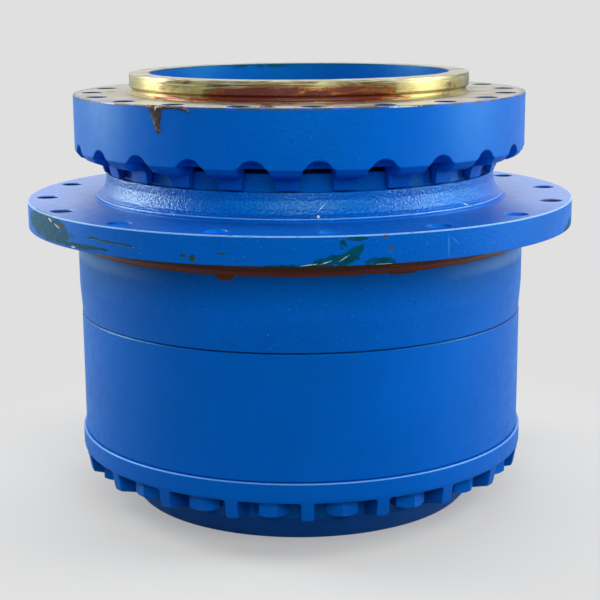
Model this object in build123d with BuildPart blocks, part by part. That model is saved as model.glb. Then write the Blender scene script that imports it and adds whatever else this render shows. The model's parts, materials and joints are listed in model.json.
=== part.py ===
from build123d import *
import os
from math import acos, asin, cos, degrees, pi, radians, sin, tan

os.makedirs("parts", exist_ok=True)

# The drive stands on its end cover, with its axis along +Z and the frame side up.
# Angles are measured from the front, which is -Y, towards +X.

# Heights of the outside, stacked from the face of the cover, mm
cover_height = 75.1
ring_width = 123.9
drum_height = 91.1
flange_thickness = 26.8
lip_height = 4.1
neck_height = 22.7
collar_height = 16.7
labyrinth_gap = 3.6
skirt_depth = 19.0
frame_flange_height = 58.9
spigot_height = 20.3

# Radii of the outside, mm
cover_face_radius = 176.5
cover_shoulder_radius = 200.0
cover_shoulder_height = 29.0
cover_shoulder_slope = 5.0
cover_shoulder_drop = 4.5
rib_tip_radius = 230.0
rib_tip_height = 37.0
rib_tip_lean = 0.8
rib_tip_rise = 3.0
cover_flange_radius = 234.0
flange_foot_inset = 0.4
flange_foot_rise = 3.0
ring_radius = 230.9
drum_foot_radius = 230.3
drum_radius = 232.3
drum_taper_height = 30.4
pilot_radius = 236.0
pilot_band_height = 16.6
flange_reach = 49.6
lip_radius = 211.4
neck_radius = 201.5
neck_foot_radius = 209.8
neck_arc_inset = 5.2
neck_arc_rise = 6.0
neck_arc_height = 15.0
collar_radius = 195.5
skirt_inner_radius = 197.5
skirt_radius = 206.5
skirt_toe_radius = 203.6
frame_flange_radius = 232.4
# Curved underside of the frame flange: its start, middle and end, each as a distance in from the
# flange's radius and a height above the underside
belly_start = (10.2, -6.3)
belly_middle = (4.4, -2.5)
belly_end = (0.0, 5.0)
belly_depth = 6.0
spigot_radius = 175.0
edge_break = 2.0

# Bolt that clamps cover and ring gear to the hub
cover_bolt_count = 20
cover_bolt_angle = 10.3
cover_bolt_circle = 212.5
cover_bolt_radius = 10.0
bolt_hole_play = 1.0
bolt_head_flats = 30.0
bolt_head_height = 12.5
bolt_turn_step = 23.0
bolt_thread_depth = 38.0
washer_radius = 17.0
washer_play = 0.5
washer_thickness = 4.0
clamp_thickness = 19.6
rib_width = 12.0
pocket_reach = 12.0
dowel_radius = 6.0
dowel_length = 24.0
dowel_room = 1.0
drill_room = 3.0

# Sprocket and frame bolt holes
sprocket_hole_count = 16
sprocket_hole_angle = 5.9
sprocket_edge_room = 19.9
sprocket_hole_radius = 11.0
frame_hole_count = 20
frame_hole_angle = 3.2
frame_bolt_circle = 214.0
frame_hole_radius = 9.75
frame_hole_depth = 38.0

# Arched slots round the underside of the frame flange
arch_count = 24
arch_angle = 4.3
arch_width = 28.4
arch_rise = 12.1
arch_back_radius = 216.0

# Inside of the spindle
motor_bore_radius = 154.0
motor_bore_depth = 91.2
motor_pilot_radius = 112.0
motor_pilot_depth = 22.0
motor_hole_count = 12
motor_bolt_circle = 134.0
motor_hole_radius = 7.0
motor_hole_depth = 21.0
motor_hole_angle = 15.0
seal_web_thickness = 24.0
seal_web_slope = 14.0
oil_bore_radius = 104.0
seal_neck_radius = 164.0
relief_depth = 2.5
relief_height = 6.0

# Main bearings
bearing_bore_radius = 140.0
bearing_outer_radius = 182.0
bearing_width = 38.0
bearing_spacer = 26.0
bearing_shoulder = 8.0
bearing_shoulder_width = 5.0
bearing_land = 10.0
bearing_relief = 2.0
bearing_relief_height = 4.0
roller_count = 26
roller_mean_radius = 9.5
roller_taper = 0.5
roller_length = 26.0
roller_tilt = 12.0
cage_thickness = 3.0
cage_overhang = 3.0
nut_radius = 162.0
nut_width = 12.0
nut_slots = 8
nut_slot_width = 12.0
nut_slot_depth = 8.0
thread_relief = 2.0

# Face seal between hub and spindle
seal_bore_radius = 188.0
seal_bore_depth = 14.4
seal_wall = 18.0
seal_ring_inner_radius = 168.0
seal_ring_radius = 177.0
seal_ring_face_radius = 184.0
seal_ring_face_width = 4.0
seal_ring_width = 12.0
seal_back_room = 3.0

# Gears
gear_module = 6.0
pressure_angle = 20.0
ring_teeth = 60
stage_2_sun_teeth = 16
stage_1_sun_teeth = 12
stage_2_planet_count = 4
stage_1_planet_count = 3
sun_shift = 0.25
dedendum = 1.25
ring_addendum = 0.8
flank_relief = 0.15
stage_2_face_width = 43.0
stage_1_face_width = 26.0

# Carriers, pins and shafts
spline_length = 17.0
spline_radius = 128.0
spline_teeth = 24
spline_depth = 4.0
spline_root_room = 1.0
carrier_rim_radius = 166.0
carrier_collar_wall = 12.0
stage_2_plate = 12.0
stage_2_front_plate = 10.0
stage_1_plate = 9.0
stage_1_front_plate = 10.0
carrier_gap = 3.0
post_radius = 24.0
post_inset = 3.0
thrust_washer = 2.4
thrust_washer_rim = 5.0
stage_2_pin_radius = 20.0
stage_2_bush_wall = 6.0
stage_1_pin_radius = 17.0
stage_1_bush_wall = 5.0
sun_bore_radius = 26.0
sun_tail_radius = 38.0
sun_room = 4.0
input_shaft_radius = 20.0
coupling_radius = 34.0
coupling_length = 20.0
coupling_gap = 1.0
shaft_seal_radius = 46.0
shaft_seal_width = 14.0
shaft_seal_wall = 5.0
shaft_seal_lip = 8.0

# End cover inside, its plugs and its thrust pad
cover_floor = 14.0
cover_wall_radius = 176.0
cover_wall_step = 10.0
cover_bowl_radius = 160.0
cover_bowl_height = 26.0
register_radius = 190.0
register_height = 9.0
register_wall = 12.0
plug_count = 3
plug_circle = 108.0
plug_head_radius = 19.0
plug_head_height = 7.0
plug_sink = 1.0
plug_play = 2.0
plug_end_room = 3.0
plug_thread_radius = 13.0
plug_thread_length = 16.0
plug_socket_flats = 14.0
plug_socket_depth = 10.0
plug_boss_wall = 8.0
thrust_boss_radius = 38.0
thrust_boss_foot = 6.0
thrust_boss_gap = 8.0
thrust_pad_radius = 24.0
thrust_pad_height = 10.0
thrust_pad_seat = 4.0
o_ring_radius = 1.85
o_ring_groove_depth = 3.7
o_ring_groove_width = 4.8

# Clearances
running_gap = 0.3
journal_gap = 0.15
slip_gap = 0.1

# How far a cutter passes the surface that it cuts
cut_over = 4.0

# Heights that follow
ring_z = cover_height
hub_z = ring_z + ring_width
flange_z = hub_z + drum_height
flange_top_z = flange_z + flange_thickness
lip_z = flange_top_z + lip_height
neck_z = lip_z + neck_height
collar_z = neck_z + collar_height
underside_z = collar_z + labyrinth_gap
skirt_z = underside_z - skirt_depth
face_z = underside_z + frame_flange_height
top_z = face_z + spigot_height
motor_floor_z = top_z - motor_bore_depth
pilot_floor_z = motor_floor_z - motor_pilot_depth
web_z = pilot_floor_z - seal_web_thickness
seal_floor_z = collar_z - seal_bore_depth
upper_bearing_z = seal_floor_z - seal_wall - bearing_width
lower_bearing_z = upper_bearing_z - bearing_spacer - bearing_width
nut_z = lower_bearing_z - nut_width
spindle_end_z = nut_z - spline_length
stage_2_plate_z = spindle_end_z - stage_2_plate
stage_2_planet_z = stage_2_plate_z - thrust_washer - running_gap - stage_2_face_width
stage_2_front_z = stage_2_planet_z - running_gap - thrust_washer
stage_1_plate_z = stage_2_front_z - stage_2_front_plate - carrier_gap - stage_1_plate
stage_1_planet_z = stage_1_plate_z - thrust_washer - running_gap - stage_1_face_width
stage_1_front_z = stage_1_planet_z - running_gap - thrust_washer
washer_z = cover_height - clamp_thickness - washer_thickness
seal_face_z = collar_z + labyrinth_gap / 2
seal_room_z = seal_face_z + seal_ring_width + seal_back_room
shaft_seal_z = pilot_floor_z - shaft_seal_width
stage_2_front_bottom = stage_2_front_z - stage_2_front_plate
stage_1_front_bottom = stage_1_front_z - stage_1_front_plate
thrust_boss_z = stage_1_front_z - thrust_boss_gap
thrust_pad_z = thrust_boss_z - thrust_pad_seat
coupling_z = motor_floor_z - coupling_gap - coupling_length

# Radii and teeth that follow
stage_2_planet_teeth = (ring_teeth - stage_2_sun_teeth) // 2
stage_1_planet_teeth = (ring_teeth - stage_1_sun_teeth) // 2
stage_2_circle = gear_module * (stage_2_sun_teeth + stage_2_planet_teeth) / 2
stage_1_circle = gear_module * (stage_1_sun_teeth + stage_1_planet_teeth) / 2
ring_root_radius = gear_module * (ring_teeth / 2 + dedendum - sun_shift)
ring_tip_radius = gear_module * (ring_teeth / 2 - ring_addendum - sun_shift)
post_circle = carrier_rim_radius - post_radius - post_inset
clear_hole_radius = cover_bolt_radius + bolt_hole_play
flange_radius = drum_radius + flange_reach
sprocket_bolt_circle = flange_radius - sprocket_edge_room
spline_middle_radius = spline_radius - spline_depth / 2 - spline_root_room
spline_pitch = pi * spline_radius / spline_teeth
sun_clear_radius = gear_module * (stage_2_sun_teeth / 2 + 1 + sun_shift) + sun_room


def place(angle):
    # Angle from the front, turned into an angle from +X
    return angle - 90


def round_places(radius, count, angle):
    return PolarLocations(radius, count, start_angle=place(angle))


def save(part, name):
    part.label = name
    export_step(part, f"parts/{name}.step")


def turned(*outline):
    # A ring or disc revolved from its closed outline of (radius, height) points
    with BuildPart() as blank:
        with BuildSketch(Plane.XZ):
            with BuildLine():
                Polyline(*outline, close=True)
            make_face()
        revolve(axis=Axis.Z)
    return blank.part


def tooth_half_angle(radius, teeth, shift, relief):
    # Half the angle that an involute tooth fills at a radius, in degrees
    pitch_radius = gear_module * teeth / 2
    base_radius = pitch_radius * cos(radians(pressure_angle))
    roll = acos(min(1, base_radius / radius))
    at_pitch = pi / (2 * teeth) + 2 * shift * tan(radians(pressure_angle)) / teeth - relief / pitch_radius
    start = tan(radians(pressure_angle)) - radians(pressure_angle)
    return degrees(at_pitch + start - tan(roll) + roll)


def polar(radius, angle):
    return (radius * cos(radians(angle)), radius * sin(radians(angle)))


def tooth_lines(teeth, shift, relief, inner_radius, outer_radius, first_angle):
    # One closed line round all teeth, each with two curved flanks
    pitch_radius = gear_module * teeth / 2
    step = 360 / teeth
    inner_half = tooth_half_angle(inner_radius, teeth, shift, relief)
    middle_half = tooth_half_angle(pitch_radius, teeth, shift, relief)
    outer_half = tooth_half_angle(outer_radius, teeth, shift, relief)
    for tooth in range(teeth):
        middle = first_angle + tooth * step
        ThreePointArc(
            polar(inner_radius, middle - inner_half),
            polar(pitch_radius, middle - middle_half),
            polar(outer_radius, middle - outer_half),
        )
        Line(polar(outer_radius, middle - outer_half), polar(outer_radius, middle + outer_half))
        ThreePointArc(
            polar(outer_radius, middle + outer_half),
            polar(pitch_radius, middle + middle_half),
            polar(inner_radius, middle + inner_half),
        )
        Line(polar(inner_radius, middle + inner_half), polar(inner_radius, middle + step - inner_half))


def toothed_wheel(teeth, shift, first_angle, bottom_z, width):
    # An outside gear on the axis, with no bore
    with BuildPart() as wheel:
        with BuildSketch(Plane.XY.offset(bottom_z)):
            with BuildLine():
                tooth_lines(
                    teeth,
                    shift,
                    flank_relief,
                    gear_module * (teeth / 2 - dedendum + shift),
                    gear_module * (teeth / 2 + 1 + shift),
                    first_angle,
                )
            make_face()
        extrude(amount=width)
    return wheel.part


# Spindle: the fixed casting that bolts to the track frame
belly_points = [
    (frame_flange_radius - inset, underside_z + rise) for inset, rise in (belly_start, belly_middle, belly_end)
]
with BuildPart() as spindle:
    with BuildSketch(Plane.XZ):
        with BuildLine():
            Polyline(
                belly_points[0],
                (skirt_radius, underside_z - belly_depth),
                (skirt_radius, skirt_z + skirt_depth / 2),
                (skirt_toe_radius, skirt_z),
                (skirt_inner_radius, skirt_z),
                (skirt_inner_radius, underside_z),
                (seal_bore_radius, underside_z),
                (seal_bore_radius, seal_room_z),
                (seal_neck_radius, seal_room_z),
                (seal_neck_radius, seal_floor_z),
                (bearing_bore_radius + bearing_shoulder, upper_bearing_z + bearing_width + bearing_shoulder_width),
                (bearing_bore_radius + bearing_shoulder, upper_bearing_z + bearing_width),
                (bearing_bore_radius, upper_bearing_z + bearing_width),
                (bearing_bore_radius, lower_bearing_z),
                (bearing_bore_radius - thread_relief, lower_bearing_z),
                (bearing_bore_radius - thread_relief, nut_z),
                (spline_radius - spline_depth, nut_z),
                (spline_radius - spline_depth, spindle_end_z),
                (oil_bore_radius, spindle_end_z),
                (oil_bore_radius, web_z - seal_web_slope),
                (shaft_seal_radius - shaft_seal_lip, web_z),
                (shaft_seal_radius - shaft_seal_lip, shaft_seal_z),
                (shaft_seal_radius + slip_gap, shaft_seal_z),
                (shaft_seal_radius + slip_gap, pilot_floor_z),
                (motor_pilot_radius, pilot_floor_z),
                (motor_pilot_radius, motor_floor_z),
                (motor_bore_radius, motor_floor_z),
                (motor_bore_radius, top_z - edge_break),
                (motor_bore_radius + edge_break, top_z),
                (spigot_radius - edge_break, top_z),
                (spigot_radius, top_z - edge_break),
                (spigot_radius, face_z + relief_height + relief_depth / 2),
                (spigot_radius - relief_depth, face_z + relief_height - relief_depth / 2),
                (spigot_radius - relief_depth, face_z + relief_depth),
                (spigot_radius, face_z),
                (frame_flange_radius - edge_break, face_z),
                (frame_flange_radius, face_z - edge_break),
                belly_points[2],
            )
            ThreePointArc(belly_points[2], belly_points[1], belly_points[0])
        make_face()
    revolve(axis=Axis.Z)
    # Splines that hold the fixed carrier
    with BuildSketch(Plane.XY.offset(spindle_end_z)):
        with PolarLocations(spline_middle_radius, spline_teeth):
            Rectangle(spline_depth + 2 * spline_root_room, spline_pitch - slip_gap)
    extrude(amount=spline_length)
    # Frame bolt and motor bolt holes
    with BuildSketch(Plane.XY.offset(face_z)):
        with round_places(frame_bolt_circle, frame_hole_count, frame_hole_angle):
            Circle(frame_hole_radius)
    extrude(amount=-frame_hole_depth, mode=Mode.SUBTRACT)
    with BuildSketch(Plane.XY.offset(motor_floor_z)):
        with PolarLocations(motor_bolt_circle, motor_hole_count, start_angle=motor_hole_angle):
            Circle(motor_hole_radius)
    extrude(amount=-motor_hole_depth, mode=Mode.SUBTRACT)

# One arched slot: deep below the flange, shallow in its underside
with BuildPart() as arch:
    with BuildSketch(Plane.YZ.offset(arch_back_radius)):
        with Locations((0, underside_z + arch_rise - arch_width / 2)):
            Circle(arch_width / 2)
            Rectangle(arch_width, skirt_depth + arch_rise, align=(Align.CENTER, Align.MAX))
    extrude(amount=frame_flange_radius - arch_back_radius + cut_over)
    with BuildSketch(Plane.YZ.offset(collar_radius)):
        with Locations((0, underside_z)):
            Rectangle(arch_width, skirt_depth + cut_over, align=(Align.CENTER, Align.MAX))
    extrude(amount=arch_back_radius - collar_radius)

with BuildPart() as slotted_spindle:
    add(spindle.part)
    with round_places(0, arch_count, arch_angle):
        add(arch.part, mode=Mode.SUBTRACT)
save(slotted_spindle.part, "spindle")

# Rotating hub: drum, sprocket flange, neck and labyrinth collar
with BuildPart() as hub:
    with BuildSketch(Plane.XZ):
        with BuildLine():
            Polyline(
                (neck_radius, neck_z),
                (collar_radius, neck_z),
                (collar_radius, collar_z),
                (seal_bore_radius, collar_z),
                (seal_bore_radius, seal_floor_z),
                (bearing_outer_radius, seal_floor_z),
                (bearing_outer_radius, upper_bearing_z),
                (bearing_outer_radius - bearing_land, upper_bearing_z),
                (bearing_outer_radius - bearing_land, upper_bearing_z - bearing_spacer),
                (bearing_outer_radius, upper_bearing_z - bearing_spacer),
                (bearing_outer_radius, lower_bearing_z),
                (bearing_outer_radius + bearing_relief, lower_bearing_z - bearing_relief_height),
                (bearing_outer_radius + bearing_relief, hub_z - register_height),
                (register_radius, hub_z - register_height),
                (register_radius, hub_z),
                (drum_foot_radius - edge_break / 2, hub_z),
                (drum_foot_radius, hub_z + edge_break / 2),
                (drum_radius, hub_z + drum_taper_height),
                (drum_radius, flange_z - pilot_band_height),
                (pilot_radius, flange_z - pilot_band_height + pilot_radius - drum_radius),
                (pilot_radius, flange_z),
                (flange_radius - edge_break, flange_z),
                (flange_radius, flange_z + edge_break),
                (flange_radius, flange_top_z - edge_break),
                (flange_radius - edge_break, flange_top_z),
                (lip_radius, flange_top_z),
                (lip_radius, lip_z),
                (neck_foot_radius, lip_z),
            )
            ThreePointArc(
                (neck_foot_radius, lip_z),
                (neck_foot_radius - neck_arc_inset, lip_z + neck_arc_rise),
                (neck_radius, lip_z + neck_arc_height),
            )
            Line((neck_radius, lip_z + neck_arc_height), (neck_radius, neck_z))
        make_face()
    revolve(axis=Axis.Z)
    with BuildSketch(Plane.XY.offset(flange_z)):
        with round_places(sprocket_bolt_circle, sprocket_hole_count, sprocket_hole_angle):
            Circle(sprocket_hole_radius)
    extrude(amount=flange_thickness, mode=Mode.SUBTRACT)
    with BuildSketch(Plane.XY.offset(hub_z)):
        with round_places(cover_bolt_circle, cover_bolt_count, cover_bolt_angle):
            Circle(cover_bolt_radius + slip_gap)
        with round_places(cover_bolt_circle, 2, cover_bolt_angle + 180 / cover_bolt_count):
            Circle(dowel_radius + slip_gap)
    extrude(amount=bolt_thread_depth + drill_room, mode=Mode.SUBTRACT)
    # Groove of the drum's O-ring
    with BuildSketch(Plane.XZ):
        with Locations((register_radius, hub_z - register_height / 2)):
            Rectangle(2 * o_ring_groove_depth, o_ring_groove_width)
    revolve(axis=Axis.Z, mode=Mode.SUBTRACT)
save(hub.part, "rotating_hub")

# Ring gear: one ring for both stages, clamped between cover and hub
with BuildPart() as ring_gear:
    with BuildSketch(Plane.XY.offset(ring_z)):
        Circle(ring_radius)
        with BuildLine():
            tooth_lines(
                ring_teeth, -sun_shift, -flank_relief, ring_tip_radius, ring_root_radius, place(0) + 180 / ring_teeth
            )
        make_face(mode=Mode.SUBTRACT)
        with round_places(cover_bolt_circle, cover_bolt_count, cover_bolt_angle):
            Circle(clear_hole_radius, mode=Mode.SUBTRACT)
        with round_places(cover_bolt_circle, 2, cover_bolt_angle + 180 / cover_bolt_count):
            Circle(dowel_radius + slip_gap, mode=Mode.SUBTRACT)
    extrude(amount=ring_width)
    # Registers for the cover and the hub
    for end_z in (ring_z, hub_z - register_height - running_gap):
        with BuildSketch(Plane.XY.offset(end_z)):
            Circle(register_radius + slip_gap)
        extrude(amount=register_height + running_gap, mode=Mode.SUBTRACT)
    outer_edges = ring_gear.edges().filter_by(GeomType.CIRCLE).sort_by(SortBy.RADIUS)[-2:]
    chamfer(outer_edges, length=edge_break / 2)
save(ring_gear.part, "ring_gear")

# End cover: dished bowl with a flange, a register, ribs and bolt pockets
pocket_half_angle = 180 / cover_bolt_count
with BuildPart() as cover:
    with BuildSketch(Plane.XZ):
        with BuildLine():
            Polyline(
                (0, 0),
                (cover_face_radius, 0),
                (cover_shoulder_radius - cover_shoulder_slope, cover_shoulder_height - cover_shoulder_drop),
                (cover_shoulder_radius, cover_shoulder_height),
                (rib_tip_radius, rib_tip_height),
                (rib_tip_radius + rib_tip_lean, rib_tip_height + rib_tip_rise),
                (cover_flange_radius - flange_foot_inset, cover_height - clamp_thickness),
                (cover_flange_radius, cover_height - clamp_thickness + flange_foot_rise),
                (cover_flange_radius, cover_height - edge_break),
                (cover_flange_radius - edge_break, cover_height),
                (register_radius, cover_height),
                (register_radius, cover_height + register_height),
                (register_radius - register_wall, cover_height + register_height),
                (cover_wall_radius, cover_height - cover_wall_step),
                (cover_wall_radius, cover_floor + cover_bowl_height),
                (cover_bowl_radius, cover_floor),
                (thrust_boss_radius + thrust_boss_foot, cover_floor),
                (thrust_boss_radius, cover_floor + thrust_boss_foot),
                (thrust_boss_radius, thrust_boss_z),
                (thrust_pad_radius + slip_gap, thrust_boss_z),
                (thrust_pad_radius + slip_gap, thrust_pad_z),
                (0, thrust_pad_z),
                close=True,
            )
        make_face()
    revolve(axis=Axis.Z)
    # Plug bosses, spot faces and threads
    with BuildSketch(Plane.XY.offset(cover_floor)):
        with PolarLocations(plug_circle, plug_count, start_angle=90):
            Circle(plug_thread_radius + plug_boss_wall)
    extrude(amount=plug_head_height + plug_thread_length - cover_floor)
    with BuildSketch(Plane.XY):
        with PolarLocations(plug_circle, plug_count, start_angle=90):
            Circle(plug_head_radius + plug_play)
    extrude(amount=plug_head_height + plug_sink, mode=Mode.SUBTRACT)
    with BuildSketch(Plane.XY):
        with PolarLocations(plug_circle, plug_count, start_angle=90):
            Circle(plug_thread_radius + slip_gap)
    extrude(amount=plug_head_height + plug_thread_length, mode=Mode.SUBTRACT)
    # Bolt and dowel holes
    with BuildSketch(Plane.XY.offset(rib_tip_height)):
        with round_places(cover_bolt_circle, cover_bolt_count, cover_bolt_angle):
            Circle(clear_hole_radius)
    extrude(amount=cover_height, mode=Mode.SUBTRACT)
    with BuildSketch(Plane.XY.offset(cover_height)):
        with round_places(cover_bolt_circle, 2, cover_bolt_angle + 180 / cover_bolt_count):
            Circle(dowel_radius + slip_gap)
    extrude(amount=-dowel_length / 2 - dowel_room, mode=Mode.SUBTRACT)
    # Groove of the cover's O-ring
    with BuildSketch(Plane.XZ):
        with Locations((register_radius, cover_height + register_height / 2)):
            Rectangle(2 * o_ring_groove_depth, o_ring_groove_width)
    revolve(axis=Axis.Z, mode=Mode.SUBTRACT)

# One bolt pocket: straight sides along the ribs and a round back behind the bolt head
with BuildPart() as pocket:
    with BuildSketch(Plane.XY):
        with BuildLine():
            side = cover_flange_radius + pocket_reach
            half_rib = degrees(asin(rib_width / 2 / cover_shoulder_radius))
            half_far = degrees(asin(rib_width / 2 / side))
            back = pocket_half_angle - half_rib
            front = pocket_half_angle - half_far
            back_corners = polar(cover_shoulder_radius, -back), polar(cover_shoulder_radius, back)
            ThreePointArc(back_corners[0], (cover_shoulder_radius, 0), back_corners[1])
            Polyline(back_corners[1], polar(side, front), polar(side, -front), back_corners[0])
        make_face()
        with Locations((cover_bolt_circle, 0)):
            Circle(washer_radius + washer_play)
    extrude(amount=cover_height - clamp_thickness)
    roof_edges = pocket.edges().group_by(Axis.Z)[-1].filter_by(GeomType.LINE).sort_by(Axis.X)[:2]
    chamfer(roof_edges, length=edge_break)

with BuildPart() as pocketed_cover:
    add(cover.part)
    with round_places(0, cover_bolt_count, cover_bolt_angle):
        add(pocket.part, mode=Mode.SUBTRACT)
save(pocketed_cover.part, "cover")

# Cover bolts, their washers and the dowels
with BuildPart() as bolts:
    for index in range(cover_bolt_count):
        bolt_place = polar(cover_bolt_circle, place(cover_bolt_angle) + index * 360 / cover_bolt_count)
        with BuildSketch(Plane.XY.offset(washer_z - bolt_head_height)):
            with Locations(bolt_place):
                RegularPolygon(bolt_head_flats / 2, 6, major_radius=False, rotation=index * bolt_turn_step)
        extrude(amount=bolt_head_height)
    with BuildSketch(Plane.XY.offset(washer_z)):
        with round_places(cover_bolt_circle, cover_bolt_count, cover_bolt_angle):
            Circle(cover_bolt_radius)
    extrude(amount=hub_z + bolt_thread_depth - washer_z)
save(bolts.part, "cover_bolts")

with BuildPart() as washers:
    with BuildSketch(Plane.XY.offset(washer_z)):
        with round_places(cover_bolt_circle, cover_bolt_count, cover_bolt_angle):
            Circle(washer_radius)
            Circle(cover_bolt_radius + slip_gap, mode=Mode.SUBTRACT)
    extrude(amount=washer_thickness)
save(washers.part, "cover_bolt_washers")

with BuildPart() as dowels:
    for joint_z in (ring_z, hub_z):
        with BuildSketch(Plane.XY.offset(joint_z - dowel_length / 2)):
            with round_places(cover_bolt_circle, 2, cover_bolt_angle + 180 / cover_bolt_count):
                Circle(dowel_radius)
        extrude(amount=dowel_length)
save(dowels.part, "dowel_pins")

# Plugs in the cover: socket heads sunk below the face
with BuildPart() as plugs:
    with BuildSketch(Plane.XY.offset(plug_sink)):
        with PolarLocations(plug_circle, plug_count, start_angle=90):
            Circle(plug_head_radius)
    extrude(amount=plug_head_height)
    with BuildSketch(Plane.XY.offset(plug_sink + plug_head_height)):
        with PolarLocations(plug_circle, plug_count, start_angle=90):
            Circle(plug_thread_radius)
    extrude(amount=plug_thread_length - plug_end_room)
    with BuildSketch(Plane.XY.offset(plug_sink)):
        with PolarLocations(plug_circle, plug_count, start_angle=90):
            RegularPolygon(plug_socket_flats / 2, 6, major_radius=False)
    extrude(amount=plug_socket_depth, mode=Mode.SUBTRACT)
save(plugs.part, "cover_plugs")

with BuildPart() as thrust_pad:
    with BuildSketch(Plane.XY.offset(thrust_pad_z)):
        Circle(thrust_pad_radius)
    extrude(amount=thrust_pad_height)
save(thrust_pad.part, "cover_thrust_pad")

# O-rings in the registers
for name, middle_z in (
    ("cover_o_ring", cover_height + register_height / 2),
    ("hub_o_ring", hub_z - register_height / 2),
):
    with BuildPart() as o_ring:
        with BuildSketch(Plane.XZ):
            with Locations((register_radius - o_ring_radius, middle_z)):
                Circle(o_ring_radius)
        revolve(axis=Axis.Z)
    save(o_ring.part, name)

# Tapered roller bearings, set back to back
roller_circle = (bearing_bore_radius + bearing_outer_radius) / 2


def roller_line(middle_z, way, side, gap, height):
    # Radius of the line that lies a gap outside the rollers at a height; side is -1 inside, 1 outside
    tilt = radians(roller_tilt)
    ends = []
    for end in (-1, 1):
        reach = end * roller_length / 2
        swell = roller_mean_radius + end * roller_taper + gap
        radius = roller_circle + reach * sin(tilt) + side * swell * cos(tilt)
        level = middle_z + way * (reach * cos(tilt) - side * swell * sin(tilt))
        ends.append((radius, level))
    (radius_1, level_1), (radius_2, level_2) = ends
    return radius_1 + (radius_2 - radius_1) * (height - level_1) / (level_2 - level_1)


for position, bottom_z, way in (("upper", upper_bearing_z, 1), ("lower", lower_bearing_z, -1)):
    top = bottom_z + bearing_width
    middle_z = (bottom_z + top) / 2
    lean = Vector(sin(radians(roller_tilt)), 0, way * cos(radians(roller_tilt)))
    centre = Vector(roller_circle, 0, middle_z)
    small_end = Plane(origin=centre - lean * (roller_length / 2), x_dir=(0, 1, 0), z_dir=lean)
    big_end = Plane(origin=centre + lean * (roller_length / 2), x_dir=(0, 1, 0), z_dir=lean)

    inner_race = turned(
        (bearing_bore_radius + slip_gap, bottom_z),
        (roller_line(middle_z, way, -1, running_gap, bottom_z), bottom_z),
        (roller_line(middle_z, way, -1, running_gap, top), top),
        (bearing_bore_radius + slip_gap, top),
    )
    save(inner_race, f"{position}_bearing_inner_race")
    outer_race = turned(
        (bearing_outer_radius - slip_gap, bottom_z),
        (roller_line(middle_z, way, 1, running_gap, bottom_z), bottom_z),
        (roller_line(middle_z, way, 1, running_gap, top), top),
        (bearing_outer_radius - slip_gap, top),
    )
    save(outer_race, f"{position}_bearing_outer_race")

    with BuildPart() as roller:
        with BuildSketch(small_end):
            Circle(roller_mean_radius - roller_taper)
        with BuildSketch(big_end):
            Circle(roller_mean_radius + roller_taper)
        loft()
    with BuildPart() as rollers:
        with PolarLocations(0, roller_count):
            add(roller.part)
    save(rollers.part, f"{position}_bearing_rollers")

    # Cage: a thin cone through the roller centres, with a window for each roller
    with BuildPart() as window:
        with BuildSketch(small_end.offset(-slip_gap)):
            Circle(roller_mean_radius - roller_taper + slip_gap)
        with BuildSketch(big_end.offset(slip_gap)):
            Circle(roller_mean_radius + roller_taper + slip_gap)
        loft()
    cage_reach = roller_length / 2 + cage_overhang
    across = lean.cross(Vector(0, 1, 0)) * (cage_thickness / 2)
    with BuildPart() as cage:
        add(turned(*[
            (point.X, point.Z)
            for point in (
                centre - lean * cage_reach - across,
                centre + lean * cage_reach - across,
                centre + lean * cage_reach + across,
                centre - lean * cage_reach + across,
            )
        ]))
        with PolarLocations(0, roller_count):
            add(window.part, mode=Mode.SUBTRACT)
    save(cage.part, f"{position}_bearing_cage")

# Slotted nut that sets the bearings
with BuildPart() as nut:
    with BuildSketch(Plane.XY.offset(nut_z)):
        Circle(nut_radius)
        Circle(bearing_bore_radius - thread_relief + slip_gap, mode=Mode.SUBTRACT)
        with PolarLocations(nut_radius, nut_slots):
            Rectangle(2 * nut_slot_depth, nut_slot_width, mode=Mode.SUBTRACT)
    extrude(amount=nut_width)
save(nut.part, "bearing_nut")

# Face seal: two hard rings, each carried by a rubber ring
toric_radius = (seal_bore_radius - seal_ring_radius) / 2 - running_gap
toric_circle = (seal_bore_radius + seal_ring_radius) / 2
for name, way in (("rotating", -1), ("fixed", 1)):
    face = seal_face_z + way * running_gap / 2
    back = face + way * seal_ring_width
    step = face + way * seal_ring_face_width
    seal_ring = turned(
        (seal_ring_inner_radius, face),
        (seal_ring_face_radius, face),
        (seal_ring_face_radius, step),
        (seal_ring_radius, step),
        (seal_ring_radius, back),
        (seal_ring_inner_radius, back),
    )
    save(seal_ring, f"{name}_seal_ring")
    with BuildPart() as toric:
        with BuildSketch(Plane.XZ):
            with Locations((toric_circle, step + way * (toric_radius + slip_gap))):
                Circle(toric_radius)
        revolve(axis=Axis.Z)
    save(toric.part, f"{name}_toric_ring")

# Oil seal of the input shaft
shaft_seal = turned(
    (input_shaft_radius + running_gap, shaft_seal_z),
    (shaft_seal_radius, shaft_seal_z),
    (shaft_seal_radius, pilot_floor_z),
    (shaft_seal_radius - shaft_seal_wall, pilot_floor_z),
    (shaft_seal_radius - shaft_seal_wall, shaft_seal_z + shaft_seal_wall),
    (input_shaft_radius + shaft_seal_wall, shaft_seal_z + shaft_seal_wall),
    (input_shaft_radius + running_gap, shaft_seal_z + shaft_seal_lip),
)
save(shaft_seal, "input_shaft_seal")

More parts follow.
